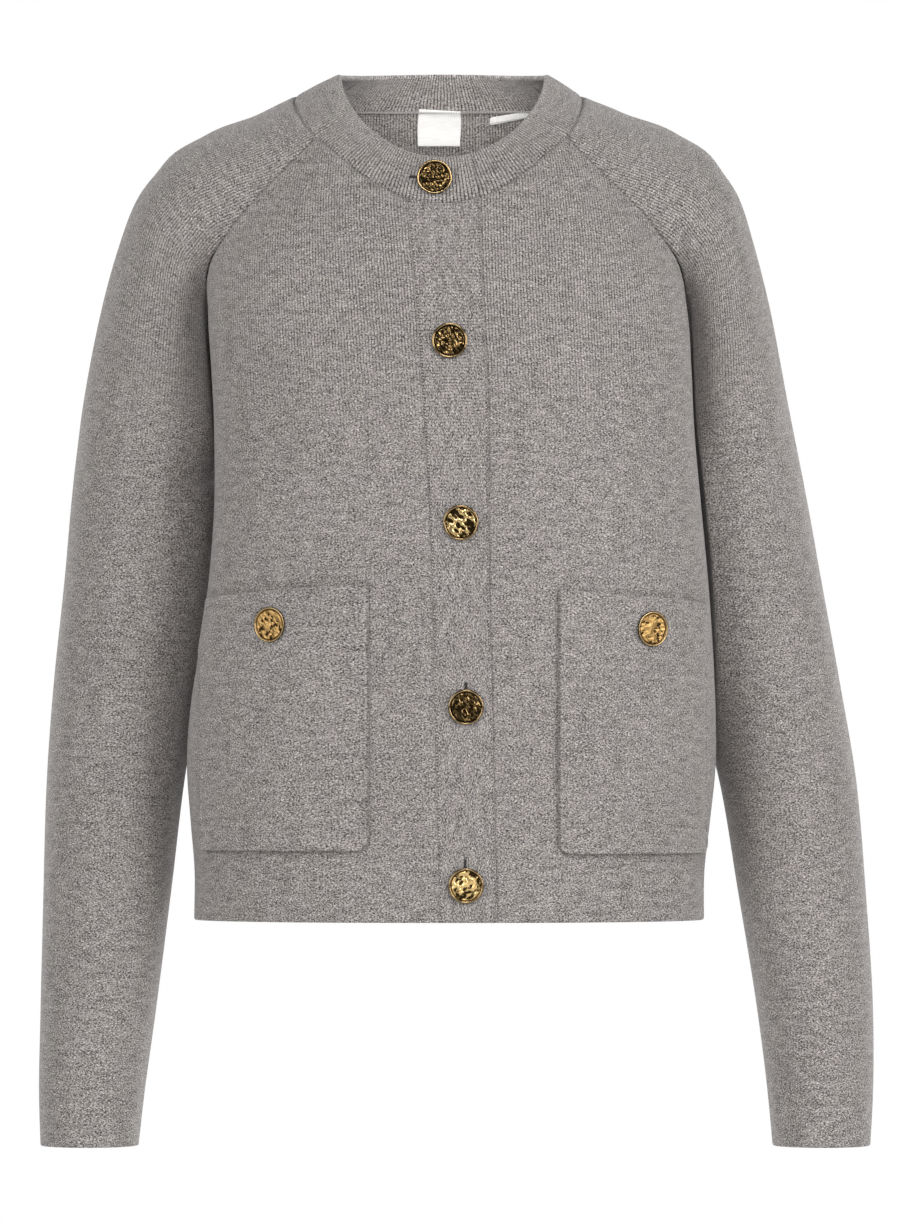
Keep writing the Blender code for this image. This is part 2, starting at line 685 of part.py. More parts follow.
def pocket_object(cloth, pocket):
    """A patch on a front panel: the panel's own points between the pocket's edges, moved out."""
    panel = cloth.grid("front_right" if pocket.side == RIGHT else "front_left")
    normals = grid_normals(panel) * (1 if pocket.side == LEFT else -1)
    corner = [POCKET_CORNER * (1 - math.cos(math.radians(a))) for a in POCKET_CORNER_TURNS]
    width = pocket.width
    outer, inner = [], []
    for down_share in np.linspace(0, 1, POCKET_ROWS + 1):
        row_outer, row_inner = [], []
        middle_z = pocket.inner_top_z + (pocket.bottom_z - pocket.inner_top_z) * down_share
        row = torso_row(down_of(middle_z))
        band = band_at(middle_z)
        front_edge = band.seam_x if pocket.side == RIGHT else band.edge_x + SEAM_GAP
        start = turn_at(down_of(middle_z), front_edge)
        first = turn_at(down_of(middle_z), pocket.inner_x)
        last = turn_at(down_of(middle_z), pocket.outer_x)
        last = pocket.side * min(abs(last), POCKET_MOST_TURN)
        places = corner + list(np.linspace(POCKET_CORNER, width - POCKET_CORNER, POCKET_COLUMNS))[1:-1]
        places += [width - place for place in reversed(corner)]
        for place in places:
            share = place / width
            near = min(place, width - place, POCKET_CORNER)
            lift = POCKET_CORNER - math.sqrt(POCKET_CORNER**2 - (POCKET_CORNER - near) ** 2)
            top = pocket.inner_top_z + (pocket.outer_top_z - pocket.inner_top_z) * share
            z = top + (pocket.bottom_z + lift - top) * down_share
            turn = first + (last - first) * share
            at_row = YOKE_STEPS + (down_of(z) - 1) * TORSO_STEPS
            at_column = (turn - start) / (pocket.side * row.front_turn - start) * FRONT_COLUMNS
            base = sample(panel, at_row, at_column)
            normal = sample(normals, at_row, at_column)
            row_inner.append(base + POCKET_CLEARANCE * normal)
            row_outer.append(base + (POCKET_CLEARANCE + WALL) * normal)
        outer.append(row_outer)
        inner.append(row_inner)
    return wall_object(pocket.name, np.array(outer), np.array(inner))


def label_object(label):
    """A small woven patch that hangs from the neck seam against the inside of the back."""
    outer, inner = [], []
    for down in np.linspace(label.top_down, label.bottom_down, LABEL_ROWS + 1):
        turns = [turn_at(down, x) for x in np.linspace(label.x0, label.x1, LABEL_COLUMNS + 1)]
        points = np.array([back_signed(down, turn) for turn in turns])
        normals = np.array([outward(back_signed, down, turn) for turn in turns])
        outer.append(points - (WALL + LABEL_CLEARANCE) * normals)
        inner.append(points - (WALL + LABEL_CLEARANCE + LABEL_WALL) * normals)
    return wall_object(label.name, np.array(outer), np.array(inner))


# ---------------------------------------------------------------- buttons
def button_object(name, seat, normal):
    """A turned disc with a raised rim and a slightly domed face, its back on the seat point."""
    face = BUTTON_THICK - RIM_HEIGHT
    profile = (
        (0.0, face + BUTTON_DOME),
        (BUTTON_RADIUS / 2, face + BUTTON_DOME * BUTTON_DOME_SHOULDER),
        (BUTTON_RADIUS - RIM_WIDTH - RIM_HEIGHT, face),
        (BUTTON_RADIUS - RIM_WIDTH, BUTTON_THICK),
        (BUTTON_RADIUS - RIM_BEVEL, BUTTON_THICK),
        (BUTTON_RADIUS, BUTTON_THICK - RIM_EDGE),
        (BUTTON_RADIUS, BACK_EDGE),
        (BUTTON_RADIUS - BACK_BEVEL, 0.0),
        (0.0, 0.0),
    )
    mesh = bpy.data.meshes.new(name)
    points = [(r * MM, 0, z * MM) for r, z in profile]
    mesh.from_pydata(points, [(i, i + 1) for i in range(len(points) - 1)], [])
    button = bpy.data.objects.new(name, mesh)
    turn = button.modifiers.new("turned", "SCREW")
    turn.steps = turn.render_steps = BUTTON_SEGMENTS
    turn.use_merge_vertices = True
    turn.merge_threshold = 0.0001
    turn.use_smooth_shade = True
    button.rotation_mode = "QUATERNION"
    button.rotation_quaternion = Vector(normal).to_track_quat("Z", "Y")
    button.location = Vector((seat + BUTTON_CLEARANCE * normal) * MM)
    return button


def front_buttons():
    for button in FRONT_BUTTONS:
        down = down_where(lambda row: row.front_z, button.z)
        turn = turn_at(down, button.x)
        yield button_object(button.name, front_signed(down, turn), outward(front_signed, down, turn))


def pocket_buttons():
    """Each sits on its pocket's outer face, square to it."""
    for button in POCKET_BUTTONS:
        down = down_of(button.z)
        turn = turn_at(down, button.x)
        normal = outward(front_signed, down, turn)
        seat = front_signed(down, turn) + (POCKET_CLEARANCE + WALL) * normal
        yield button_object(button.name, seat, normal)


def collar_button(collar_outer):
    """The top button, on the lap of the collar."""
    rows, columns = collar_outer.shape[:2]
    lap = collar_outer[:, -COLLAR_LAP_COLUMNS:]
    middle = lap[rows // 2]
    share = (COLLAR_BUTTON.x - middle[0][0]) / (middle[-1][0] - middle[0][0])
    at_column = share * (lap.shape[1] - 1)
    heights = [sample(lap, r, at_column)[2] for r in range(rows)]
    at_row = float(np.interp(-COLLAR_BUTTON.z, [-z for z in heights], range(rows)))
    seat = sample(lap, at_row, at_column)
    normal = sample(grid_normals(lap), at_row, at_column)
    normal /= -math.copysign(np.linalg.norm(normal), normal[1])
    facing = normal + COLLAR_BUTTON_UPRIGHT * np.array((0.0, -1.0, 0.0))
    facing /= np.linalg.norm(facing)
    back_radius = BUTTON_RADIUS - BACK_BEVEL
    lift = back_radius * math.sqrt(1 - (facing @ normal) ** 2)  # its lower edge rests on the lap
    return button_object(COLLAR_BUTTON.name, seat + lift * facing, facing)


# ---------------------------------------------------------------- materials and scene
Finish = namedtuple("Finish", "color roughness metallic")
FINISHES = {
    "wool": Finish((0.30, 0.29, 0.285), 0.95, 0.0),
    "gold": Finish((0.60, 0.42, 0.16), 0.32, 1.0),
    "label": Finish((0.82, 0.81, 0.78), 0.8, 0.0),
}


def material_for(name, finish):
    material = bpy.data.materials.new(name)
    material.use_nodes = True
    shader = material.node_tree.nodes["Principled BSDF"]
    shader.inputs["Base Color"].default_value = (*FINISHES[finish].color, 1.0)
    shader.inputs["Roughness"].default_value = FINISHES[finish].roughness
    shader.inputs["Metallic"].default_value = FINISHES[finish].metallic
    return material


def finish_of(name):
    if name.startswith("button"):
        return "gold"
    return "label" if name.startswith("label") else "wool"


def main():
    for old in list(bpy.data.objects):
        bpy.data.objects.remove(old, do_unlink=True)
    collection = bpy.data.collections.new("button_cardigan")
    bpy.context.scene.collection.children.link(collection)
    cloth = make_cloth()
    parts = list(panel_objects(cloth))
    parts.append(
        band_object("band_buttonholes", lambda b: b.seam_x, lambda b: b.edge_x, 0.0, BAND_WALL)
    )
    parts.append(
        band_object(
            "band_buttons",
            lambda b: b.seam_x + UNDERBAND_SHIFT,
            lambda b: b.edge_x,
            BAND_WALL + OVERLAP,
            UNDERBAND_WALL,
        )
    )
    collar, collar_outer = collar_object(cloth)
    parts.append(collar)
    parts += [pocket_object(cloth, pocket) for pocket in POCKETS]
    parts += [label_object(label) for label in LABELS]
    parts.append(collar_button(collar_outer))
    parts += list(front_buttons())
    parts += list(pocket_buttons())
    for part in parts:
        part.data.materials.append(material_for(part.name, finish_of(part.name)))
        collection.objects.link(part)


main()
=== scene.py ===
"""Looks of the button cardigan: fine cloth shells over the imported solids, knit, seams and buttons.

Lengths in the tables are millimetres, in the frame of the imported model: +Z is up, the front faces
-Y and the origin is the middle of the neck. "Right" and "left" are the wearer's; right is at -X.
The torso and sleeve tables are those of the part's source, read here on a finer mesh.
"""

import math
from collections import namedtuple

import bpy
import numpy as np
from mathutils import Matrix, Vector
from mathutils.bvhtree import BVHTree


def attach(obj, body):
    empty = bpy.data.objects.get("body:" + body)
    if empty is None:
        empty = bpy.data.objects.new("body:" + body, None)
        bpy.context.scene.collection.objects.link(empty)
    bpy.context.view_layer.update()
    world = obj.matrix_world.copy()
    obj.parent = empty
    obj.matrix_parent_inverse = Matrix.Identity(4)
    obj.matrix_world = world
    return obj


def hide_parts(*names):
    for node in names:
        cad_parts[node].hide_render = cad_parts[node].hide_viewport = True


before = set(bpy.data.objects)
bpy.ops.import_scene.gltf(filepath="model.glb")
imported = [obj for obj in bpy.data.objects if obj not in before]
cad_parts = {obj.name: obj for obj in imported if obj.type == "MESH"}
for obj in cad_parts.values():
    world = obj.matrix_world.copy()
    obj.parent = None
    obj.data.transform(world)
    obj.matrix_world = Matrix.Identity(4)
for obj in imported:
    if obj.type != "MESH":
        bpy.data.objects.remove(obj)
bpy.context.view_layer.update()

MM = 0.001
RIGHT, LEFT = -1, 1

# ------ sizes shared with the solids, mm
WALL = 2.6
BAND_WALL = 3.4
UNDERBAND_WALL = 3.0
COLLAR_WALL = 3.8
OVERLAP = 0.4
UNDERARM_Z = -213.0
HEM_Z = -536.0
CUFF_Z = -685.0
OVAL_POWER = 0.93
STEP_REACH = 32.0
LEFT_SUNK = 0.8  # the left front beside the top band; the cloth presses flatter than the solids
UNDERBAND_SHIFT = 2.0
SLEEVE_CLEARANCE = 2.6
PRESS_FROM = (0.444, 0.556)

Torso = namedtuple(
    "Torso",
    "down front_z front_seam_z back_z back_seam_z half_width widest_y front_y back_y"
    " front_turn back_turn lean front_lift",
)
TORSO = (
    (0.00, -66, -22, 1, 3, 98, 0, -92, 88, 56, 53, -1.0, 0.6),
    (0.15, -80, -47, -18, -14, 122, -8, -100, 93, 61, 46, -1.0, 0.4),
    (0.30, -100, -71, -45, -41, 143, -18, -108, 97, 66, 44, 0.0, 0.2),
    (0.42, -116, -90, -69, -64, 154, -26, -113, 99, 74, 44, 0.0, 0.0),
    (0.50, -128, -103, -85, -80, 157, -30, -116, 100, 84, 46, 0.5, 0.0),
    (0.65, -152, -137, -118, -115, 158, -34, -120, 101, 98, 51, 3.0, 0.0),
    (0.82, -181, -175, -164, -163, 158, -36, -123, 100, 107, 59, 5.5, 0.0),
    (1.00, -213, -213, -213, -213, 158, -36, -125, 98, 112, 68, 7.5, 0.0),
    (1.15, -261, -261, -261, -261, 160, -35, -126, 95, 110, 70, 10.0, 0.0),
    (1.30, -310, -310, -310, -310, 164, -31, -125, 94, 106, 74, 10.5, 0.0),
    (1.45, -358, -358, -358, -358, 169, -27, -123, 96, 104, 76, 8.5, 0.0),
    (1.58, -400, -400, -400, -400, 173, -22, -121, 100, 102, 78, 6.0, 0.0),
    (1.68, -433, -433, -433, -433, 174, -19, -120, 102, 101, 79, 5.0, 0.0),
    (1.80, -471, -471, -471, -471, 171, -16, -119, 103, 100, 80, 4.5, 0.0),
    (1.90, -504, -504, -504, -504, 168, -14, -118, 104, 100, 80, 4.3, 0.0),
    (2.00, -536, -536, -536, -536, 168, -12, -117, 104, 100, 80, 4.3, 0.0),
)
Sleeve = namedtuple(
    "Sleeve", "down crest_x crest_y crest_z inner_x inner_y inner_z depth open_power lean"
)
SLEEVE = (
    (0.00, 95, 2, 5, 0, 0, 0, 0, 1.35, -3.0),
    (0.15, 122.5, 3, -6.5, 0, 0, 0, 2, 1.35, -1.5),
    (0.30, 158, 4, -12.5, 0, 0, 0, 6, 1.35, -1.0),
    (0.42, 182, 5, -25, 0, 0, 0, 14, 1.4, -1.7),
    (0.50, 190, 6, -41, 0, 0, 0, 22, 1.5, -2.4),
    (0.65, 204, 9, -76, 0, 0, 0, 38, 1.65, -3.6),
    (0.82, 220, 15, -130, 0, 0, 0, 50, 1.85, -4.2),
    (1.00, 235, 21, -206, 150, 15, -213, 57, 2.0, -4.6),
    (1.12, 243, 25, -256, 143, 22, -260, 57, 2.0, -3.0),
    (1.25, 250.5, 27, -312, 150, 25, -315, 56, 2.0, -0.5),
    (1.40, 260, 25, -380, 163, 25, -382, 54, 2.0, 2.6),
    (1.55, 267.5, 18, -445, 177, 19, -446, 51, 2.0, 5.9),
    (1.70, 271.5, 10, -515, 187, 11, -516, 48, 2.0, 7.6),
    (1.85, 275, 0, -600, 199, 1, -600, 44, 2.0, 9.0),
    (1.95, 275, -8, -655, 206, -7, -655, 41, 2.0, 8.6),
    (2.00, 273.5, -12, -685, 209, -11, -685, 39, 2.0, 8.3),
)
Band = namedtuple("Band", "z seam_x edge_x")
BAND = (
    (-536, -2.0, 35.5),
    (-400, -5.5, 32.5),
    (-290, -8.0, 30.0),
    (-190, -13.5, 29.5),
    (-125, -18.0, 26.0),
    (-60, -24.0, 24.0),
)
FOLD_HALF_WIDTH = 68.0
FOLD_FRONT_Y = -78.0
FOLD_BACK_Y = 79.0
FOLD_BACK_Z = 22.0
FOLD_BACK_RISE = 3.0
FOLD_FRONT_Z = -35.0
FOLD_DROP_POWER = 1.25
Pocket = namedtuple("Pocket", "name side inner_x outer_x inner_top_z outer_top_z bottom_z width")
POCKETS = (
    Pocket("pocket_right", RIGHT, -48.0, -157.0, -315.0, -325.0, -489.0, 132.0),
    Pocket("pocket_left", LEFT, 75.0, 171.0, -319.0, -328.0, -491.0, 136.0),
)
POCKET_CORNER = 7.0
POCKET_MOST_TURN = 80.0

# The solids' mesh steps, and how many steps of the looks lie in one of them
YOKE_STEPS, TORSO_STEPS, ARM_STEPS = 9, 11, 12
FRONT_COLUMNS, BACK_COLUMNS, SLEEVE_COLUMNS = 16, 18, 18
FINE_YOKE, FINE_TORSO, FINE_ARM, FINE_ACROSS = 6, 9, 11, 8
RELAX_ROUNDS, RELAX_SHARE, RELAX_TO, RELAX_FADE = 6, 0.5, 0.62, 0.25
WELD_OFFSET = 0.137
HALVINGS, TINY = 20, 1e-9  # in the search for the torso's level beside a sleeve; a rounding
EDGE_STEPS = (1.6, 1.0, 0.6, 0.3, 0.1)  # mm from a rounded edge at which rows lie closer
EDGE_MOST = 0.93  # of its radius that an edge is rounded by, so that its sides don't meet


# ------ the tables as smooth curves
def curve(table, key, at):
    """A table's measures at values of its first column, on smooth curves through its rows."""
    rows = np.array(table, float)
    keys = rows[:, 0]
    slopes = np.gradient(rows, keys, axis=0)
    at = np.clip(np.asarray(at, float), keys[0], keys[-1])
    i = np.clip(np.searchsorted(keys, at) - 1, 0, len(keys) - 2)
    span = (keys[i + 1] - keys[i])[..., None]
    t = (at - keys[i])[..., None] / span
    value = (2 * t**3 - 3 * t**2 + 1) * rows[i] + (t**3 - 2 * t**2 + t) * span * slopes[i]
    value += (3 * t**2 - 2 * t**3) * rows[i + 1] + (t**3 - t**2) * span * slopes[i + 1]
    return key(*np.moveaxis(value, -1, 0))


def torso(down):
    """The torso's measures at some levels; from the underarm down a row is flat."""
    row = curve(TORSO, Torso, down)
    below = np.asarray(down) >= 1
    z = UNDERARM_Z + (HEM_Z - UNDERARM_Z) * (np.asarray(down) - 1)
    level = {
        name: np.where(below, z, getattr(row, name))
        for name in ("front_z", "front_seam_z", "back_z", "back_seam_z")
    }
    return row._replace(back_turn=np.where(below, 180 - row.front_turn, row.back_turn), **level)


def band_at(z):
    return curve(BAND, Band, z)


def down_of(z):
    return 1 + (UNDERARM_Z - z) / (UNDERARM_Z - HEM_Z)


def power(value):
    return np.sign(value) * np.abs(value) ** OVAL_POWER


def smooth(t):
    t = np.clip(t, 0, 1)
    return t * t * (3 - 2 * t)


def torso_point(down, turn, back=False):
    """Points of the fronts or back, turn degrees round from the centre to the wearer's left."""
    down, turn = np.broadcast_arrays(np.asarray(down, float), np.asarray(turn, float))
    row = torso(down)
    angle = np.radians(np.abs(turn))
    behind = row.back_y - row.widest_y
    if back:
        limit, top, seam = row.back_turn, row.back_z, row.back_seam_z
        y = row.widest_y + behind * power(np.cos(angle))
    else:
        limit, top, seam = row.front_turn, row.front_z, row.front_seam_z
        reach = np.where(np.abs(turn) <= 90, row.widest_y - row.front_y, behind)
        y = row.widest_y - reach * power(np.cos(angle))
    rise = (1 - np.cos(angle)) / (1 - np.cos(np.radians(limit)))
    rise = rise if back else rise * (1 + row.front_lift * (1 - rise))
    x = np.where(turn < 0, -1, 1) * row.half_width * power(np.sin(angle)) + row.lean
    return together(x, y, top + (seam - top) * rise)


def turn_at(down, x):
    """The turn from centre front at which the front lies at x."""
    row = torso(down)
    share = np.minimum(np.abs(x - row.lean) / row.half_width, 1.0)
    return np.copysign(np.degrees(np.arcsin(share ** (1 / OVAL_POWER))), x - row.lean)


def unit(vectors):
    return vectors / np.linalg.norm(vectors, axis=-1, keepdims=True)


def together(*parts):
    """The parts of a vector or pair as one array."""
    return np.stack(np.broadcast_arrays(*parts), axis=-1)


PROBE_TURN, PROBE_DOWN = 1, 0.005  # half the steps over which the direction is taken


def outward(down, turn, back=False):
    """The torso's outward direction."""
    across = torso_point(down, turn + PROBE_TURN, back) - torso_point(down, turn - PROBE_TURN, back)
    higher = torso_point(np.maximum(down - PROBE_DOWN, 0), turn, back)
    lower = torso_point(np.minimum(down + PROBE_DOWN, 2), turn, back)
    return unit(np.cross(across, higher - lower)) * (-1 if back else 1)


def on_torso(down, turn, back=False):
    return torso_point(down, turn, back), outward(down, turn, back)


def sunk(x, edge_x, depth):
    """How far the left side lies below the full outline, beside or under the top band."""
    return depth * (1 - smooth((x - edge_x) / STEP_REACH))


# ------ panels on any mesh
def levels(yoke, lower, lower_steps, edge=()):
    """Levels from the neck to the underarm and on to the hem or cuff, closer at the free edge."""
    top = np.arange(YOKE_STEPS * yoke) / (YOKE_STEPS * yoke)
    rest = 1 + np.arange(lower_steps * lower + 1) / (lower_steps * lower)
    return np.concatenate([top, rest[:-1], 2 - np.array(edge, float), rest[-1:]])


def front_grid(side, down, columns):
    down = down[:, None]
    row = torso(down)
    band = band_at(row.front_z)
    edge_x = band.seam_x if side == RIGHT else band.edge_x
    start = turn_at(down, edge_x)
    turn = start + (side * row.front_turn - start) * np.linspace(0, 1, columns + 1)
    grid = torso_point(down, turn)
    if side == LEFT:
        grid = grid - sunk(grid[..., :1], edge_x[..., None], LEFT_SUNK) * outward(down, turn)
    return grid


def back_grid(down, columns):
    down = down[:, None]
    return torso_point(down, torso(down).back_turn * np.linspace(-1, 1, columns + 1), back=True)


def sleeve_grid(side, down, columns):
    """Rings from the front seam over the crest to the back seam, clear of the torso's side."""
    level = down[:, None]
    row, body = curve(SLEEVE, Sleeve, level), torso(level)
    crest = together(side * row.crest_x + row.lean, row.crest_y, row.crest_z)
    inner = together(side * row.inner_x + row.lean, row.inner_y, row.inner_z)
    open_ring = (level <= 1)[..., None]
    front = np.where(open_ring, torso_point(level, side * body.front_turn), inner)
    back = np.where(open_ring, torso_point(level, side * body.back_turn, True), inner)
    back = np.where((level == 1)[..., None], front, back)
    s = np.linspace(-1, 1, columns + 1)
    turn = np.pi * s / 2
    middle = (front + back) / 2
    swell = (np.abs(np.cos(turn)) ** row.open_power)[..., None]
    grid = middle + (back - front) / 2 * np.sin(turn)[:, None] + (crest - middle) * swell
    grid = grid + (row.depth * np.sin(2 * turn))[..., None] * np.array((0.0, 1.0, 0.0))
    first = int(np.searchsorted(down, 1.0))
    last = int(np.searchsorted(down, 1.0 + 1.0 / ARM_STEPS - TINY))
    for k in range(first + 1, last):  # below the underarm the open ring closes
        share = (down[k] - 1) * ARM_STEPS
        grid[k] = grid[first] * (1 - share) + grid[last] * share
    from_seam = (1 - np.abs(s)) * SLEEVE_COLUMNS / 2
    room = np.where(level > 1, 1.0, np.minimum(from_seam, 1.0)) * SLEEVE_CLEARANCE
    low, high = np.zeros(grid.shape[:2]), np.full(grid.shape[:2], 2.0)
    for _ in range(HALVINGS):
        half = (low + high) / 2
        at = torso(half)
        above = np.where(s > 0, at.back_seam_z, at.front_seam_z) > grid[..., 2]
        low, high = np.where(above, half, low), np.where(above, high, half)
    at = torso(low)
    y = grid[..., 1]
    reach = np.where(y < at.widest_y, at.widest_y - at.front_y, at.back_y - at.widest_y)
    share = np.minimum(np.abs(y - at.widest_y) / reach, 1.0) ** (1 / OVAL_POWER)
    limit = at.half_width * power(np.sqrt(1 - share**2)) + room + side * at.lean
    push = np.maximum(limit - side * grid[..., 0], 0)
    push *= smooth((level - PRESS_FROM[0]) / (PRESS_FROM[1] - PRESS_FROM[0]))
    seam = (level <= 1) & (from_seam < TINY)
    grid[..., 0] += side * np.where(seam, 0, push)
    return grid


def panel_grids(yoke=1, lower=1, arm=1, across=1, edge=(), cuff_edge=()):
    """The five main panels on a mesh that splits each of the solids' steps."""
    body = levels(yoke, lower, TORSO_STEPS, edge)
    sleeve = levels(yoke, arm, ARM_STEPS, cuff_edge)
    return {
        "front_right": front_grid(RIGHT, body, FRONT_COLUMNS * across),
        "front_left": front_grid(LEFT, body, FRONT_COLUMNS * across),
        "back": back_grid(body, BACK_COLUMNS * across),
        "sleeve_right": sleeve_grid(RIGHT, sleeve, SLEEVE_COLUMNS * across),
        "sleeve_left": sleeve_grid(LEFT, sleeve, SLEEVE_COLUMNS * across),
    }


def easing():
    """How far the solids' yoke points moved when the raglan seams were eased, per panel."""
    grids = panel_grids()
    flat = np.concatenate([grid.reshape(-1, 3) for grid in grids.values()])
    ends = np.cumsum([grid.size // 3 for grid in grids.values()])
    cells = np.round(flat * 100 + WELD_OFFSET).astype(int)
    _, first, index = np.unique(cells, axis=0, return_index=True, return_inverse=True)
    points, own = flat[first], np.split(index.reshape(-1), ends[:-1])
    ids = {name: i.reshape(grids[name].shape[:2]) for name, i in zip(grids, own)}
    pairs = [together(i[:-1], i[1:]).reshape(-1, 2) for i in ids.values()]
    pairs += [together(i[:, :-1], i[:, 1:]).reshape(-1, 2) for i in ids.values()]
    pairs = np.unique(np.sort(np.concatenate(pairs), axis=1), axis=0)
    pairs = pairs[pairs[:, 0] != pairs[:, 1]]
    both = np.concatenate([pairs, pairs[:, ::-1]])
    count = np.maximum(np.bincount(both[:, 0], minlength=len(points)), 1)[:, None]
    weight = np.zeros(len(points))
    for name, i in ids.items():
        share = np.linspace(0, 1, i.shape[1])
        near = np.ones_like(share)
        if name.startswith("front"):
            near = share**2
        elif name == "back":
            near = np.abs(2 * share - 1) ** 2
        for k in range(1, YOKE_STEPS + 1):
            fade = min(max((RELAX_TO - k / YOKE_STEPS) / RELAX_FADE, 0.0), 1.0)
            weight[i[k]] = np.maximum(weight[i[k]], RELAX_SHARE * fade * near)
    for name, i in ids.items():
        weight[i[0]] = 0
        if name.startswith("front"):
            weight[i[:, 0]] = 0
    moved = points
    for _ in range(RELAX_ROUNDS):
        total = np.zeros_like(points)
        np.add.at(total, both[:, 0], moved[both[:, 1]])
        moved = moved + weight[:, None] * (total / count - moved)
    return {name: (moved - points)[i] for name, i in ids.items()}


def spline(count, places):
    """The matrix that reads a natural cubic spline through count even points at some places."""
    second = np.zeros((count, count))
    system = np.eye(count)
    for i in range(1, count - 1):
        system[i, i - 1 : i + 2] = 1, 4, 1
        second[i, i - 1 : i + 2] = 6, -12, 6
    curvature = np.linalg.solve(system, second)
    i = np.clip(places.astype(int), 0, count - 2)
    t = (places - i)[:, None]
    eye = np.eye(count)
    value = (1 - t) * eye[i] + t * eye[i + 1]
    value += ((1 - t) ** 3 - (1 - t)) / 6 * curvature[i] + (t**3 - t) / 6 * curvature[i + 1]
    return value


def eased_panels():
    """The fine panels, eased as the solids were."""
    edge, cuff = (np.array(EDGE_STEPS) / (UNDERARM_Z - end) for end in (HEM_Z, CUFF_Z))
    grids = panel_grids(FINE_YOKE, FINE_TORSO, FINE_ARM, FINE_ACROSS, edge, cuff)
    moved = easing()
    yoke_rows = YOKE_STEPS * FINE_YOKE + 1
    for name, grid in grids.items():
        offset = moved[name][: YOKE_STEPS + 1]
        down = spline(YOKE_STEPS + 1, np.linspace(0, YOKE_STEPS, yoke_rows))
        columns = offset.shape[1]
        side = spline(columns, np.linspace(0, columns - 1, grid.shape[1]))
        grid[:yoke_rows] += np.einsum("ri,cj,ijk->rck", down, side, offset)
    return grids


# ------ cloth shells
OUT = {"front_right": -1, "front_left": 1, "back": -1, "sleeve_right": -1, "sleeve_left": 1}
FAR = 99.0  # mm to a seam where there is none near
CUT_STEP = 37.0  # mm between two pieces' cuts, so that they don't share the knit's chance marks
CALM_REACH = 25.0  # mm from a seam over which the cloth's unevenness sets in
SAME_WAY = 0.3  # least cosine between two sides of a seam that get one direction


def grid_normals(grid, out=1):
    return out * unit(np.cross(np.gradient(grid, axis=1), -np.gradient(grid, axis=0)))


def lengths(grid, axis):
    """The distance along the cloth from the grid's first row or column."""
    step = np.linalg.norm(np.diff(grid, axis=axis), axis=-1)
    start = np.zeros_like(grid.take([0], axis=axis)[..., 0])
    return np.concatenate([start, np.cumsum(step, axis=axis)], axis=axis)


def edge_distance(grid, edge):
    from_start = lengths(grid, 0 if edge in ("top", "bottom") else 1)
    if edge == "bottom":
        return from_start[-1:] - from_start
    if edge == "end":
        return from_start[:, -1:] - from_start
    return from_start


def rounding(distance, radius):
    """How far a rounded edge lies below the face at a distance from it."""
    inside = radius - np.minimum(distance, radius)
    return np.minimum(radius - np.sqrt(radius**2 - inside**2), EDGE_MOST * radius)


def quads(ids):
    """The faces between neighbouring points of a numbered grid."""
    return together(ids[:-1, :-1], ids[1:, :-1], ids[1:, 1:], ids[:-1, 1:]).reshape(-1, 4)


def put(name, data, place=(0, 0, 0), aim=None):
    """An object in the scene; a lamp looks at its aim."""
    thing = bpy.data.objects.new(name, data)
    thing.location = place
    if aim:
        turned = (Vector(aim) - Vector(place)).to_track_quat("-Z", "Y")
        thing.rotation_euler = turned.to_euler()
    bpy.context.scene.collection.objects.link(thing)
    return thing


def mesh_piece(name, points, faces, maps, same=None):
    """An object from points in mm and quads; maps are per-point pairs kept as UV maps."""
    ids = faces if same is None else same[faces]
    used, new_ids = np.unique(ids, return_inverse=True)
    mesh = bpy.data.meshes.new(name)
    mesh.from_pydata((points[used] * MM).tolist(), [], new_ids.reshape(-1, 4).tolist())
    for key, values in maps.items():
        layer = mesh.uv_layers.new(name=key)
        layer.uv.foreach_set("vector", (values[faces.reshape(-1)] * MM).astype(np.float32).ravel())
    mesh.shade_smooth()
    return put(name, mesh)


def shell(
    name, face, normal, wall, cut,
    folded=(), turned_down=(), turn_radius=None, sewn=FAR, joined_from=None,
):
    """A closed cloth wall under a face grid, with rounded edges, from its cut coordinates.

    folded edges are rounded on both sides; turned_down edges run down to what carries them. sewn is
    the grid of distances to the nearest seam, for the stitches. A sleeve is a ring from the row
    joined_from on.
    """
    rows, columns = face.shape[:2]
    both, front = np.zeros((rows, columns)), np.zeros((rows, columns))
    for edge in folded:
        both = np.maximum(both, rounding(edge_distance(face, edge), wall / 2))
    for edge in turned_down:
        front = np.maximum(front, rounding(edge_distance(face, edge), turn_radius or wall))
    outer = face - np.maximum(both, front)[..., None] * normal
    inner = face - (wall - both)[..., None] * normal
    ids = np.arange(rows * columns).reshape(rows, columns)
    under = ids + rows * columns
    is_open = slice(None if joined_from is None else joined_from + 1)
    rim = (
        (ids[0], under[0]),
        (under[-1], ids[-1]),
        (under[is_open, 0], ids[is_open, 0]),
        (ids[is_open, -1], under[is_open, -1]),
    )
    sides = [quads(together(*pair)) for pair in rim]
    faces = np.concatenate([quads(ids), quads(under)[:, ::-1], *sides])
    points = np.concatenate([outer.reshape(-1, 3), inner.reshape(-1, 3)])
    corner = points[faces]
    volume = (np.cross(corner[:, 0], corner[:, 1]) * corner[:, 2]).sum()
    volume += (np.cross(corner[:, 0], corner[:, 2]) * corner[:, 3]).sum()
    if volume < 0:
        faces = faces[:, ::-1]
    same = np.arange(len(points))
    if joined_from is not None:
        for layer in (ids, under):
            same[layer[joined_from:, -1]] = layer[joined_from:, 0]
    place = cut + sum(map(ord, name)) % 89 * CUT_STEP
    maps = {"cut": place, "sewn": np.broadcast_to(sewn, cut.shape)}
    maps = {key: np.tile(value.reshape(-1, 2), (2, 1)) for key, value in maps.items()}
    return mesh_piece(name, points, faces, maps, same)


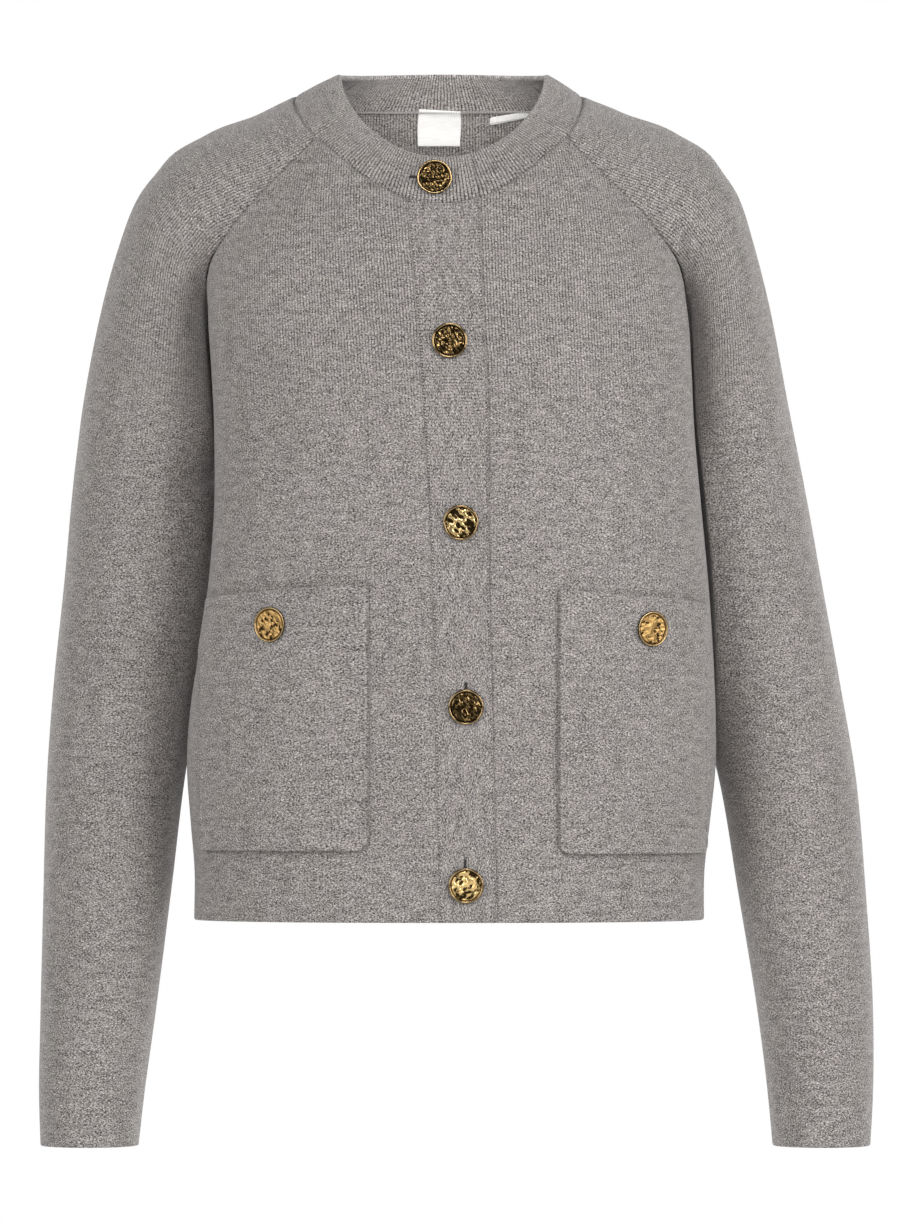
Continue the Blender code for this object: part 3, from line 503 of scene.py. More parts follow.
# Creases over a piece's cut, mm: u0, v0, u1, v1, width, height
CREASES = {
    "sleeve_right": (
        (60, 430, 66, 640, 9, 1.6),
        (46, 470, 52, 620, 8, -1.2),
        (30, 205, 74, 250, 13, -1.8),
        (24, 240, 70, 300, 15, 1.6),
        (-34, 220, -76, 270, 14, -2.0),
    ),
    "sleeve_left": (
        (-58, 440, -66, 640, 10, 1.3),
        (-62, 612, -14, 604, 7, 0.9),
        (-30, 205, -74, 250, 13, -1.8),
        (-24, 240, -70, 300, 15, 1.4),
        (34, 225, 76, 280, 14, -2.0),
    ),
    "front_right": (
        (128, 150, 88, 250, 12, -1.5),
        (140, 190, 110, 300, 13, 1.4),
    ),
    "front_left": (
        (98, 150, 62, 255, 12, -1.3),
        (112, 185, 84, 300, 13, 1.3),
    ),
    "back": (
        (-120, 150, -70, 260, 14, -1.8),
        (116, 160, 74, 280, 14, -1.6),
        (-40, 60, 30, 110, 18, 1.2),
        (60, 330, 100, 500, 20, 1.4),
        (-96, 320, -70, 500, 20, 1.5),
    ),
}
UNEVEN, WAVES = 0.35, (23, 61, 41, -47)  # the cloth's soft waves: height, and lengths by turns
CREASE_BOW, CREASE_ENDS = 0.06, 0.8  # a crease bows by a share of its length, and thins to its ends


def drape(piece, u, v, seed):
    """The cloth's soft unevenness and its main creases, as heights over its cut."""
    across, down, aslant, back = WAVES
    waves = np.sin(u / across + seed) * np.sin(v / down + 2 * seed)
    total = UNEVEN * (waves + np.sin(u / aslant + v / back + 3 * seed))
    for u0, v0, u1, v1, width, height in CREASES[piece]:
        du, dv = u1 - u0, v1 - v0
        reach = math.hypot(du, dv)
        arch = np.sin(np.pi * np.clip(((u - u0) * du + (v - v0) * dv) / reach**2, 0, 1))
        off = ((v - v0) * du - (u - u0) * dv) / reach - CREASE_BOW * reach * arch
        total = total + height * arch**CREASE_ENDS * np.exp(-((off / width) ** 2))
    return total


SEAM_DIP, SEAM_DIP_WIDTH = 0.45, 1.3
SEAM_RIDGE, SEAM_RIDGE_AT, SEAM_RIDGE_WIDTH = 0.25, 3.6, 2.0


def seam_relief(distance, share=1.0):
    """A sewn edge sinks at the stitches and swells beside them."""
    dip = share * SEAM_DIP * np.exp(-((distance / SEAM_DIP_WIDTH) ** 2))
    return SEAM_RIDGE * np.exp(-(((distance - SEAM_RIDGE_AT) / SEAM_RIDGE_WIDTH) ** 2)) - dip


def nearest_seam(grid, edges, side_rows=None):
    """Pairs: the distance to the nearest sewn edge, and the place along it.

    The side edges are sewn down to a row, or all the way.
    """
    best, place = np.full(grid.shape[:2], FAR), np.zeros(grid.shape[:2])
    for edge in edges:
        level = edge in ("top", "bottom")
        distance = edge_distance(grid, edge)
        hit = distance < best
        hit[len(grid) if level else side_rows or len(grid) :] = False
        best = np.where(hit, distance, best)
        place = np.where(hit, lengths(grid, 1 if level else 0), place)
    return together(best, place)


def flat_across(grid, middle):
    """Distances across the cloth from one column, measured level."""
    level = grid.copy()
    level[..., 2] = 0
    across = lengths(level, 1)
    return across - across[:, middle : middle + 1]


def panel_cut(name, grid):
    """The panel's own cut: across from its straight edge or middle, and down."""
    columns = grid.shape[1] - 1
    if name.startswith("sleeve"):
        across = lengths(grid, 1)
        across = across - across[:, columns // 2, None]
        down = lengths(grid, 0)[:, columns // 2, None]
    else:
        across = flat_across(grid, columns // 2 if name == "back" else 0)
        down = -grid[..., 2]
    return together(across, down)


def join_normals(normals, yoke_end):
    """One direction for both sides of each seam."""
    pairs = []
    for side in ("right", "left"):
        own = normals["sleeve_" + side]
        back_edge = normals["back"][:, 0 if side == "right" else -1]
        front_edge = normals["front_" + side][:, -1]
        pairs.append((own[: yoke_end + 1, 0], front_edge[: yoke_end + 1]))
        pairs.append((own[: yoke_end + 1, -1], back_edge[: yoke_end + 1]))
        pairs.append((front_edge[yoke_end + 1 :], back_edge[yoke_end + 1 :]))
        pairs.append((own[yoke_end + 1 :, 0], own[yoke_end + 1 :, -1]))
    for one, other in pairs:
        agree = (one * other).sum(axis=-1, keepdims=True) > SAME_WAY
        both = unit(one + other)
        one[:] = np.where(agree, both, one)
        other[:] = np.where(agree, both, other)


def main_panels():
    grids = eased_panels()
    yoke_end = YOKE_STEPS * FINE_YOKE
    normals = {name: grid_normals(grid, OUT[name]) for name, grid in grids.items()}
    join_normals(normals, yoke_end)
    pieces = {}
    for number, (name, grid) in enumerate(grids.items()):
        ring_from = yoke_end if name.startswith("sleeve") else None
        edges = ("end", "top") if name.startswith("front") else ("end", "top", "start")
        sewn = nearest_seam(grid, edges, ring_from and ring_from + 1)
        cut = panel_cut(name, grid)
        away = np.minimum(edge_distance(grid, "start"), edge_distance(grid, "end"))
        calm = smooth(away / CALM_REACH) * smooth(edge_distance(grid, "top") / CALM_REACH)
        height = drape(name, cut[..., 0], cut[..., 1], number + 1) * calm
        face = grid + (height + seam_relief(sewn[..., 0]))[..., None] * normals[name]
        pieces[name] = shell(
            name + "_cloth", face, normals[name], WALL, cut,
            folded=("bottom",), sewn=sewn, joined_from=ring_from,
        )
    return grids, pieces


# ------ bands, collar and pockets
def spread(count, length, start_edge=False, end_edge=False):
    """Shares of a length, even, and closer together at a rounded edge."""
    near = np.array(EDGE_STEPS) / length
    shares = [np.linspace(0, 1, count + 1)]
    shares += [near] if start_edge else []
    shares += [1 - near] if end_edge else []
    return np.unique(np.concatenate(shares))


BAND_WIDTH, BAND_COLUMNS = 40.0, 26
BAND_SEAM = 0.3  # its seam sinks less than the others
BAND_TURN = 0.8  # radius of the face's turn at the free edge
BAND_WAVES = (0.18, 17, 9)  # height, and length along and across
BAND_END = (0.005, 0.003, 0.002, 0.001, 0.0003)  # levels above the hem at which rows lie closer


def band_piece(name, shift, depth, wall, free):
    down = levels(FINE_YOKE, FINE_TORSO, TORSO_STEPS, BAND_END)[:, None]
    band = band_at(torso(down).front_z)
    start, end = turn_at(down, band.seam_x + shift), turn_at(down, band.edge_x)
    turn = start + (end - start) * spread(BAND_COLUMNS, BAND_WIDTH, free == "start", free == "end")
    base, normal = on_torso(down, turn)
    sewn = nearest_seam(base, ("start", "end", "top"))
    cut = together(-base[..., 2], lengths(base, 1))
    height, along, across = BAND_WAVES
    waves = height * np.sin(cut[..., 0] / along) * np.sin(cut[..., 1] / across)
    face = base - (depth - seam_relief(sewn[..., 0], BAND_SEAM) - waves)[..., None] * normal
    return shell(
        name, face, normal, wall, cut,
        folded=("bottom",), turned_down=(free,), turn_radius=BAND_TURN, sewn=sewn,
    )


COLLAR_ROWS, LAP_COLUMNS = 14, 33
COLLAR_HEIGHT, COLLAR_CROWN = 34.0, 1.0


def collar_piece(grids):
    """One folded band along the neck seam; its right end laps over its left end at the front."""
    band = band_at(torso(0.0).front_z)
    step = COLLAR_WALL + OVERLAP
    under_turn, over_turn = (
        turn_at(0.0, np.linspace(band.seam_x + shift, band.edge_x, LAP_COLUMNS))
        for shift in (UNDERBAND_SHIFT, 0.0)
    )
    zero = np.zeros_like(under_turn)
    base, normal = on_torso(zero, under_turn)
    parts = [base - step * normal]
    parts += [grids[name][0][1:] for name in ("front_left", "sleeve_left")]
    parts += [grids[name][0][-2::-1] for name in ("back", "sleeve_right", "front_right")]
    parts += [torso_point(zero, over_turn)[1:]]
    seam = np.concatenate(parts)
    row = torso(0.0)
    on_left = np.arange(len(seam)) < LAP_COLUMNS + FRONT_COLUMNS * FINE_ACROSS
    sink = np.where(on_left, sunk(seam[:, 0], band.edge_x, step), 0.0)
    across = seam[:, 0] / row.half_width
    depth = -seam[:, 1] / np.where(seam[:, 1] < 0, -row.front_y, row.back_y)
    length = np.hypot(across, depth)
    across, depth = across / length, depth / length
    fold_y = np.where(depth > 0, FOLD_FRONT_Y, FOLD_BACK_Y)
    drop = (FOLD_BACK_Z - FOLD_FRONT_Z) * np.maximum(depth, 0) ** FOLD_DROP_POWER
    rise = FOLD_BACK_RISE * np.minimum(depth, 0) ** 2
    fold_z = FOLD_BACK_Z - drop + rise
    fold = together(FOLD_HALF_WIDTH * across, fold_y * np.abs(depth), fold_z)
    fold = fold - sink[:, None] * unit(together(across, -depth, 0.0))
    shares = spread(COLLAR_ROWS, COLLAR_HEIGHT, start_edge=True)
    middle = fold + (seam - fold) * shares[:, None, None]
    normal = grid_normals(middle)
    sewn = nearest_seam(middle, ("bottom",))
    cut = together(lengths(middle, 1)[len(shares) // 2], lengths(middle, 0))
    crown = COLLAR_CROWN * np.sin(np.pi * shares)[:, None] + seam_relief(sewn[..., 0])
    face = middle + crown[..., None] * normal
    chain = (face[-1] - (COLLAR_WALL + CHAIN_OFF) * normal[-1])[LAP_COLUMNS:-LAP_COLUMNS]
    return shell("collar_cloth", face, normal, COLLAR_WALL, cut, folded=("top",), sewn=sewn), chain


CHAIN_PITCH, CHAIN_RADIUS, CHAIN_STRAND = 3.4, 0.55, 0.5
CHAIN_STEP, CHAIN_SIDES, CHAIN_OFF = 0.35, 7, 0.3


def neck_chain(path):
    """The linked seam inside the neck: two strands of yarn wound round each other."""
    walked = np.concatenate([[0.0], np.cumsum(np.linalg.norm(np.diff(path, axis=0), axis=1))])
    at = np.arange(0.0, walked[-1], CHAIN_STEP)
    middle = np.stack([np.interp(at, walked, path[:, k]) for k in range(3)], axis=1)[:, None]
    side = unit(np.cross(unit(np.gradient(middle, axis=0)), (0.0, 0.0, 1.0)))
    up = np.cross(side, unit(np.gradient(middle, axis=0)))
    ring = np.linspace(0, 2 * np.pi, CHAIN_SIDES, endpoint=False)[:, None]
    points, faces = [], []
    for strand in (0, 1):
        wind = (2 * np.pi * at / CHAIN_PITCH + strand * np.pi)[:, None, None]
        centre = middle + CHAIN_RADIUS * (np.cos(wind) * side + np.sin(wind) * up)
        points.append(centre + CHAIN_STRAND * (np.cos(ring) * side + np.sin(ring) * up))
        ids = (np.arange(points[0].size // 3) + strand * points[0].size // 3).reshape(len(at), -1)
        faces.append(quads(np.pad(ids, ((0, 0), (0, 1)), "wrap")))
    points = np.concatenate(points).reshape(-1, 3)
    return mesh_piece("neck_chain", points, np.concatenate(faces), {"cut": points[:, :2]})


POCKET_LIFT, POCKET_WALL = 3.4, 3.25
POCKET_HEM_AT, POCKET_HEM_STEP, POCKET_HEM_WIDTH = 41.0, 0.45, 3.0
POCKET_GAPE = 1.3  # how far its top and bottom edges stand off the front
POCKET_TOP_FADE, POCKET_BOTTOM_FADE, POCKET_SIDE_FADE = 14, 6, 12
POCKET_BOTTOM_SHARE = 1.5  # of the gape at the top
POCKET_STITCH, POCKET_STITCH_AT, POCKET_STITCH_WIDTH = 0.5, 4.5, 1.2
POCKET_SWELL = 0.8
POCKET_STEPS, POCKET_HEIGHT = 61, 170.0
POCKET_NEAR = (0.1, 0.35, 0.8, 1.4, 2.2, 3.2)  # mm from its edges at which rows lie closer


def pocket_piece(pocket):
    """A patch that lies on the front: turned down at its sides, open at its top."""
    width, near = pocket.width, np.array(POCKET_NEAR)
    even = np.linspace(0, width, POCKET_STEPS)
    place = np.unique(np.concatenate([even, near, width - near]))
    even, near = np.linspace(0, 1, POCKET_STEPS), near / POCKET_HEIGHT
    down_share = np.unique(np.concatenate([even, near, 1 - near]))[:, None]
    share = place / width
    inside = np.minimum(np.minimum(place, width - place), POCKET_CORNER)
    lift = POCKET_CORNER - np.sqrt(POCKET_CORNER**2 - (POCKET_CORNER - inside) ** 2)
    top = pocket.inner_top_z + (pocket.outer_top_z - pocket.inner_top_z) * share
    z = top + (pocket.bottom_z + lift - top) * down_share
    middle = down_of(pocket.inner_top_z + (pocket.bottom_z - pocket.inner_top_z) * down_share)
    first, last = turn_at(middle, pocket.inner_x), turn_at(middle, pocket.outer_x)
    last = pocket.side * np.minimum(np.abs(last), POCKET_MOST_TURN)
    down, turn = down_of(z), first + (last - first) * share
    base, normal = on_torso(down, turn)
    if pocket.side == LEFT:
        edge_x = band_at(z).edge_x
        base = base - sunk(base[..., 0], edge_x, BAND_WALL + OVERLAP)[..., None] * normal
    fall, rise = top - z, z - (pocket.bottom_z + lift)
    hem = (POCKET_HEM_AT - fall) / POCKET_HEM_WIDTH + 0.5
    edge = np.minimum(place, width - place)
    gape = np.exp(-fall / POCKET_TOP_FADE)
    gape = gape + POCKET_BOTTOM_SHARE * np.exp(-rise / POCKET_BOTTOM_FADE)
    stitch = np.exp(-(((edge - POCKET_STITCH_AT) / POCKET_STITCH_WIDTH) ** 2))
    height = POCKET_LIFT + POCKET_HEM_STEP * (smooth(hem) - 0.5) - POCKET_STITCH * stitch
    height = height + POCKET_SWELL * np.sin(np.pi * share) * np.sin(np.pi * down_share)
    height = height + POCKET_GAPE * gape * smooth(edge / POCKET_SIDE_FADE)
    return shell(
        pocket.name + "_cloth", base + height[..., None] * normal, normal, POCKET_WALL,
        together(place, fall), folded=("top", "bottom"), turned_down=("start", "end"),
        sewn=together(edge, fall),
    )


# ------ labels
NECK_LABEL_WIDTH, NECK_LABEL_HEIGHT, NECK_LABEL_LEFT, NECK_LABEL_WALL = 28.5, 26.0, -16.5, 0.55
NECK_LABEL_DOWN, NECK_LABEL_LIFT, NECK_LABEL_RAISE = 0.185, 3.7, 2.0
LABEL_STEPS, CARE_STEPS, CARE_ROWS = 41, 61, 13
CARE_LENGTH, CARE_WIDTH, CARE_WALL, CARE_LIFT = 45.0, 8.0, 0.35, 6.6
CARE_FOLD, CARE_BEND = 0.45, 0.1  # the shares of its length before its fold and in it
CARE_OUTER_X, CARE_OUT, CARE_BACK = 63.0, 29.0, 27.0  # where it is sewn; how far it runs each way


def neck_label():
    """A bare woven square that hangs from the neck seam, a little uneven."""
    u = np.linspace(0, 1, LABEL_STEPS)
    v = u[:, None]
    down = NECK_LABEL_DOWN * v + 0.012 * u * (1 - v)
    twist = 0.5 * np.sin(3 * v) * (2 * u - 1) - 0.7 * v
    turn = turn_at(down, NECK_LABEL_LEFT + NECK_LABEL_WIDTH * u + twist)
    bulge = 2.3 * np.exp(-((v / 0.14) ** 2)) + 1.6 * v**2
    waves = 0.35 * np.sin(5 * u + 1) * v + 0.4 * np.sin(7 * v)
    base, normal = on_torso(down, turn, True)
    face = base - (NECK_LABEL_LIFT + bulge + waves)[..., None] * normal
    face[..., 2] += NECK_LABEL_RAISE - 0.4 * v
    cut = together(NECK_LABEL_WIDTH * u, NECK_LABEL_HEIGHT * v)
    return shell("label_neck_cloth", face, -normal, NECK_LABEL_WALL, cut)


def care_label():
    """A narrow white strip, folded back on itself at its free end."""
    t, w = np.linspace(0, 1, CARE_STEPS)[:, None], np.linspace(0, 1, CARE_ROWS)
    out = np.clip(t / CARE_FOLD, 0, 1)
    bend = np.clip((t - CARE_FOLD) / CARE_BEND, 0, 1) * np.pi
    back = np.clip((t - CARE_FOLD - CARE_BEND) / (1 - CARE_FOLD - CARE_BEND), 0, 1)
    x = CARE_OUTER_X - CARE_OUT * out - 1.6 * np.sin(bend) + CARE_BACK * back
    lift = CARE_LIFT + np.cos(bend) - 0.3 * back - 1.5 * (1 - out) * (bend == 0)
    z = -1.0 - 3.8 * w - 0.14 * (55.5 - x) - 1.1 * np.sin(bend / 2) * (1 - back)
    down = (2.0 - z) / 110.0
    base, normal = on_torso(down, turn_at(down, x), True)
    face = base - lift[..., None] * normal
    face[..., 2] = z
    cut = together(CARE_WIDTH * w, CARE_LENGTH * t)
    return shell("label_care_cloth", face, grid_normals(face), CARE_WALL, cut)


# ------ buttons
BUTTON_RADIUS = 11.6
RIM_TUBE, RIM_HEIGHT = 0.75, 1.65
FACE_HEIGHT, GROOVE_HEIGHT, GROOVE_WIDTH = 1.35, 0.75, 0.9
DIMPLES, DIMPLE_STRETCH, DIMPLE_LEAN = 48, 1.7, 0.13
DIMPLE_BOWL, DIMPLE_REACH = 0.13, 2.0  # mm of height for each mm² out from a dimple's middle
RIDGE_WIDTH, RIDGE_HEIGHT, HOLLOW_REACH = 0.7, 0.08, 1.8
BACK_RADII, BACK_HEIGHTS = (9.5, 3.0, 0.02), (0.05, 0.0, 0.0)
BUTTON_RINGS, BUTTON_SPOKES, RIM_STEPS = 34, 97, 12


def solid_points(node):
    """A solid's points, in metres."""
    return np.array([v.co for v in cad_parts[node].data.vertices])


def button_piece(name, node, seed):
    """A hammered disc in a polished rim, set where its solid is."""
    points = solid_points(node) / MM
    middle = points.mean(axis=0)
    _, _, axes = np.linalg.svd(points - middle)
    axis = axes[2] * (-1 if axes[2][1] > 0 else 1)
    random = np.random.default_rng(seed)
    seeds = random.uniform(-1, 1, (DIMPLES, 2)) * BUTTON_RADIUS
    face_radius = BUTTON_RADIUS - 2 * RIM_TUBE
    radii = np.linspace(0.02, face_radius, BUTTON_RINGS)
    turn = np.linspace(0, 2 * np.pi, BUTTON_SPOKES)
    x, y = radii[:, None] * np.cos(turn), radii[:, None] * np.sin(turn)
    grain = random.uniform(0, np.pi)
    away = np.stack([x[..., None] - seeds[:, 0], y[..., None] - seeds[:, 1]])
    long = away[0] * np.cos(grain) + away[1] * np.sin(grain)
    apart = np.hypot(long / DIMPLE_STRETCH, away[1] * np.cos(grain) - away[0] * np.sin(grain))
    own = apart.argmin(-1)
    nearest, second = np.moveaxis(np.sort(apart, axis=-1)[..., :2], -1, 0)
    ridge = smooth(1 - (second - nearest) / RIDGE_WIDTH)
    lean = random.uniform(-DIMPLE_LEAN, DIMPLE_LEAN, (DIMPLES, 2))
    tilt = lean[own, 0] * (x - seeds[own, 0]) + lean[own, 1] * (y - seeds[own, 1])
    bowl = DIMPLE_BOWL * np.minimum(nearest, DIMPLE_REACH) ** 2
    z = FACE_HEIGHT + bowl + tilt * (1 - ridge) + RIDGE_HEIGHT * ridge
    groove = smooth((radii[:, None] - face_radius + GROOVE_WIDTH) / GROOVE_WIDTH)
    z = z * (1 - groove) + GROOVE_HEIGHT * groove
    rim_turn = np.linspace(np.pi * 0.85, -np.pi * 0.5, RIM_STEPS)
    rim_radius = BUTTON_RADIUS - RIM_TUBE + RIM_TUBE * np.cos(rim_turn)
    more = np.concatenate([rim_radius, BACK_RADII])[:, None]
    more_z = np.concatenate([RIM_HEIGHT + RIM_TUBE * np.sin(rim_turn), BACK_HEIGHTS])[:, None]
    more = together(more * np.cos(turn), more * np.sin(turn), more_z)
    local = np.concatenate([together(x, y, z), more])
    ids = np.arange(local.size // 3).reshape(local.shape[:2])
    same = ids.ravel().copy()
    same[ids[:, -1]] = ids[:, 0]
    turned = Vector(axis).to_track_quat("Z", "Y").to_matrix()
    placed = local.reshape(-1, 3) @ np.array(turned).T
    placed = placed + middle + ((points - middle) @ axis).min() * axis
    # the face's ridges and hollows: the ridges carry the painted glints of the dark buttons, the
    # hollows the marks
    worn = np.zeros((*ids.shape, 2))
    worn[:BUTTON_RINGS] = together(ridge, smooth(1 - nearest / HOLLOW_REACH))
    maps = {"cut": local[..., :2].reshape(-1, 2), "worn": worn.reshape(-1, 2) / MM}
    return mesh_piece(name, placed, quads(ids), maps, same)


Hole = namedtuple("Hole", "button across up length turn")
HOLES = (
    Hole("button_1", -4.5, 0.0, 24.0, 90),
    Hole("button_2", 0.0, -1.0, 21.0, 0),
    Hole("button_3", 0.0, -1.0, 21.0, 0),
    Hole("button_4", 0.0, 4.4, 23.0, 0),
    Hole("button_5", -0.6, 5.0, 24.0, 0),
)
HOLE_HALF_WIDTH, HOLE_END_POWER = 0.55, 0.35
HOLE_THREAD, HOLE_STEPS, HOLE_SIDES = 0.5, 120, 8
HOLE_KNOTS, HOLE_KNOT_TURN = 0.16, 2.4  # how much the thread swells, and how often


def buttonhole_piece(hole, under):
    """A worked slit on the cloth: two rows of thread that meet at its ends."""
    tree = BVHTree.FromObject(under, bpy.context.evaluated_depsgraph_get())
    centre = Vector(solid_points(hole.button).mean(axis=0))
    turn = math.radians(hole.turn)
    long = np.array((-math.sin(turn), math.cos(turn)))
    wide = np.array((math.cos(turn), math.sin(turn)))
    around = np.linspace(0, 2 * np.pi, HOLE_STEPS, endpoint=False)
    sine = np.sin(around)
    across = HOLE_HALF_WIDTH * np.sign(sine) * np.abs(sine) ** HOLE_END_POWER
    path = together(hole.length / 2 * np.cos(around), across)
    rings = []
    for k, (a, b) in enumerate(path):
        flat = a * long + b * wide + np.array((hole.across, hole.up))
        start = centre + Vector((flat[0] * MM, -0.02, flat[1] * MM))
        spot, normal, _, _ = tree.ray_cast(start, Vector((0, 1, 0)))
        ahead = path[(k + 1) % HOLE_STEPS] - path[k - 1]
        ahead = ahead[0] * long + ahead[1] * wide
        side = Vector((ahead[0], 0, ahead[1])).cross(normal).normalized()
        thick = HOLE_THREAD * (1 + HOLE_KNOTS * math.sin(k * HOLE_KNOT_TURN))
        rings += [
            tuple(spot / MM + thick * (side * math.cos(t) + normal * (math.sin(t) * 0.8 - 0.1)))
            for t in np.linspace(0, 2 * math.pi, HOLE_SIDES, endpoint=False)
        ]
    points = np.array(rings)
    ids = np.arange(len(points)).reshape(HOLE_STEPS, HOLE_SIDES)
    faces = quads(np.pad(ids, (0, 1), "wrap").T)
    name = hole.button.replace("button", "buttonhole")
    return mesh_piece(name, points, faces, {"cut": points[:, :2]})


# ------ materials
class Nodes:
    """A material's nodes, added one by one; an input is a number, a colour or a socket."""

    def __init__(self, name):
        self.material = bpy.data.materials.new(name)
        self.material.use_nodes = True
        self.tree = self.material.node_tree
        self.shader = self.tree.nodes["Principled BSDF"]

    def add(self, kind, inputs=(), out=0, **settings):
        node = self.tree.nodes.new("ShaderNode" + kind)
        for key, value in settings.items():
            setattr(node, key, value)
        for key, value in dict(inputs).items():
            self.put(node.inputs[key], value)
        return node.outputs[out]

    def put(self, socket, value):
        if isinstance(value, bpy.types.NodeSocket):
            self.tree.links.new(value, socket)
        else:
            socket.default_value = value

    def math(self, operation, *values):
        return self.add("Math", dict(enumerate(values)), operation=operation)

    def times(self, one, other):
        return self.math("MULTIPLY", one, other)

    def minus(self, one, other):
        return self.math("SUBTRACT", one, other)

    def line(self, value, slope, start):
        return self.math("MULTIPLY_ADD", value, slope, start)

    def wave(self, value, length):
        return self.math("SINE", self.times(value, 2 * math.pi / length))

    def ramp(self, value, low, high, to_low=0.0, to_high=1.0):
        inputs = {"Value": value, 1: low, 2: high, 3: to_low, 4: to_high}
        return self.add("MapRange", inputs, interpolation_type="SMOOTHSTEP")

    def uv(self, name):
        """A UV map, and its two parts."""
        place = self.add("UVMap", uv_map=name)
        first = self.add("SeparateXYZ", {0: place})
        return place, first, first.node.outputs[1]

    def place(self):
        """The point on the object, in metres."""
        return self.add("TexCoord", out=3)

    def noise(self, vector, scale, detail=2.0, roughness=0.5, turn=0.0):
        """Noise; with three scales it is stretched, after a turn."""
        if isinstance(scale, tuple):
            turned = {"Vector": vector, "Rotation": (0, 0, turn), "Scale": scale}
            vector, scale = self.add("Mapping", turned), 1.0
        inputs = {"Vector": vector, "Scale": scale, "Detail": detail, "Roughness": roughness}
        return self.add("TexNoise", inputs)

    def mix(self, share, colour, other):
        return self.add("Mix", {0: share, 6: colour, 7: other}, 2, data_type="RGBA")

    def tone(self, colour, share):
        return self.add("VectorMath", {0: colour, 3: share}, operation="SCALE")

    def bump(self, strength, distance, height):
        return self.add("Bump", {"Strength": strength, "Distance": distance, "Height": height})

    def finish(self, **values):
        for key, value in values.items():
            self.put(self.shader.inputs[key.replace("_", " ")], value)
        return self.material


WALE, COURSE = 0.0020, 0.0015  # stitch width and height, m
WALE_SWAY, COURSE_SWAY, SWAY_SCALE = 0.65, 1.7, 90  # how far the rows wander, in stitches
STITCH_SLANT = 1.6
FINE_FIBRES, LIGHT_FIBRES, DARK_FIBRES = 6.6, 1.2, 0.9
LIGHT_FROM, DARK_FROM = (0.56, 0.74), (0.28, 0.44)  # the noise between which single fibres show
FINE_SCALE, SINGLE_SCALE = (930, 1300, 1), (580, 920, 1)
CLOUD_SCALE, LOOSE_SCALE = (90, 230, 1), (900, 1300, 1)
CLOUDS, WIDE_CLOUDS = 2.1, 0.22
MEAN_STITCH, DARKEST = 0.56, 0.12  # the tone taken off for the stitches, and the least tone
LOOP, KNOT, KNOT_ROW = 0.0026, 0.0020, 0.0012  # sewing: loops, and a row of knots beside them, m
LINE_FADE, KNOT_FADE = (0.0004, 0.0013), (0.0003, 0.0008)
WARM_GREY = (0.228, 0.212, 0.199, 1)
COOL_GREY = (0.226, 0.208, 0.202, 1)


def wool(
    name, wales=1.2, felt_from=-0.13, felt_to=-0.24, felted=0.19, ladder=1.0, dots=0.0, shade=1.0
):
    """Melange jersey: wales of V stitches, light and dark fibres, felted towards the hem."""
    n = Nodes(name)
    cut, u, v = n.uv("cut")
    place = n.place()
    z = n.add("SeparateXYZ", {0: place}, 2)
    clear = n.times(n.ramp(z, felt_to, felt_from, felted, 1.0), wales)
    sway = n.minus(n.noise(cut, SWAY_SCALE, 3), 0.5)
    wale = n.math("ADD", n.math("DIVIDE", u, WALE), n.times(sway, WALE_SWAY))
    off = n.math("ABSOLUTE", n.minus(n.math("FRACT", wale), 0.5))
    slant = n.math("ADD", n.math("DIVIDE", v, COURSE), n.times(off, STITCH_SLANT))
    beads = n.line(n.wave(n.math("ADD", slant, n.times(sway, COURSE_SWAY)), 1), 0.5, 0.5)
    # the stitches: high and light on the wales' crests, low and darker between them; their tone is
    # painted shade of the relief
    stitch = n.times(n.ramp(off, 0.24, 0.5, 1.0, 0.0), n.line(beads, 0.42, 0.58))
    # fibres: fine ones all over, single light and dark ones, and clouds of both
    fine = n.noise(cut, FINE_SCALE, 2, 0.75, 0.6)
    single = n.noise(cut, SINGLE_SCALE, 1, 0.6, -0.7)
    cloud = n.noise(cut, CLOUD_SCALE, 4, 0.75)
    parts = (
        (n.minus(fine, 0.5), n.ramp(clear, 0.2, 1.0, FINE_FIBRES, 0.85 * FINE_FIBRES)),
        (n.ramp(single, *LIGHT_FROM), LIGHT_FIBRES),
        (n.ramp(single, *DARK_FROM, -1.0, 0.0), DARK_FIBRES),
        (n.minus(cloud, 0.5), CLOUDS),
        (n.minus(n.noise(place, 17), 0.5), WIDE_CLOUDS),
        # painted shade of the stitch relief, weaker where the cloth is felted
        (n.minus(stitch, MEAN_STITCH), clear),
    )
    tone = 1.0
    for part, share in parts:
        tone = n.line(part, share, tone)
    # sewn edges: a thin dark line with a ladder of loops, and knots beside it
    _, seam, along = n.uv("sewn")
    line = n.times(n.ramp(seam, *LINE_FADE, 1.0, 0.0), ladder)
    dark = n.times(line, n.line(n.wave(along, LOOP), 0.20, 0.32))
    if dots:
        row = n.math("ABSOLUTE", n.minus(seam, KNOT_ROW))
        row = n.times(n.ramp(row, *KNOT_FADE, 1.0, 0.0), dots)
        dark = n.line(row, n.line(n.wave(along, KNOT), 0.55, 0.16), dark)
    tone = n.times(n.math("MAXIMUM", tone, DARKEST), n.minus(1.0, dark))
    grey = n.mix(n.ramp(n.noise(place, 60, 3, 0.6), 0.4, 0.6), COOL_GREY, WARM_GREY)
    # relief of the stitches and of the loose fibres over them
    fibre = n.noise(cut, LOOSE_SCALE, 2, 0.7)
    height = n.math("ADD", n.times(stitch, clear), n.times(fibre, 0.9))
    height = n.math("ADD", height, n.times(fine, 0.8))
    return n.finish(
        # the last factor darkens the whole tone; below 1 it is painted shade
        Base_Color=n.tone(grey, n.times(tone, shade)), Normal=n.bump(0.55, 0.0006, height),
        Roughness=0.92, Specular_IOR_Level=0.12,
        Sheen_Weight=0.4, Sheen_Roughness=0.5, Sheen_Tint=(0.95, 0.93, 0.92, 1),
    )
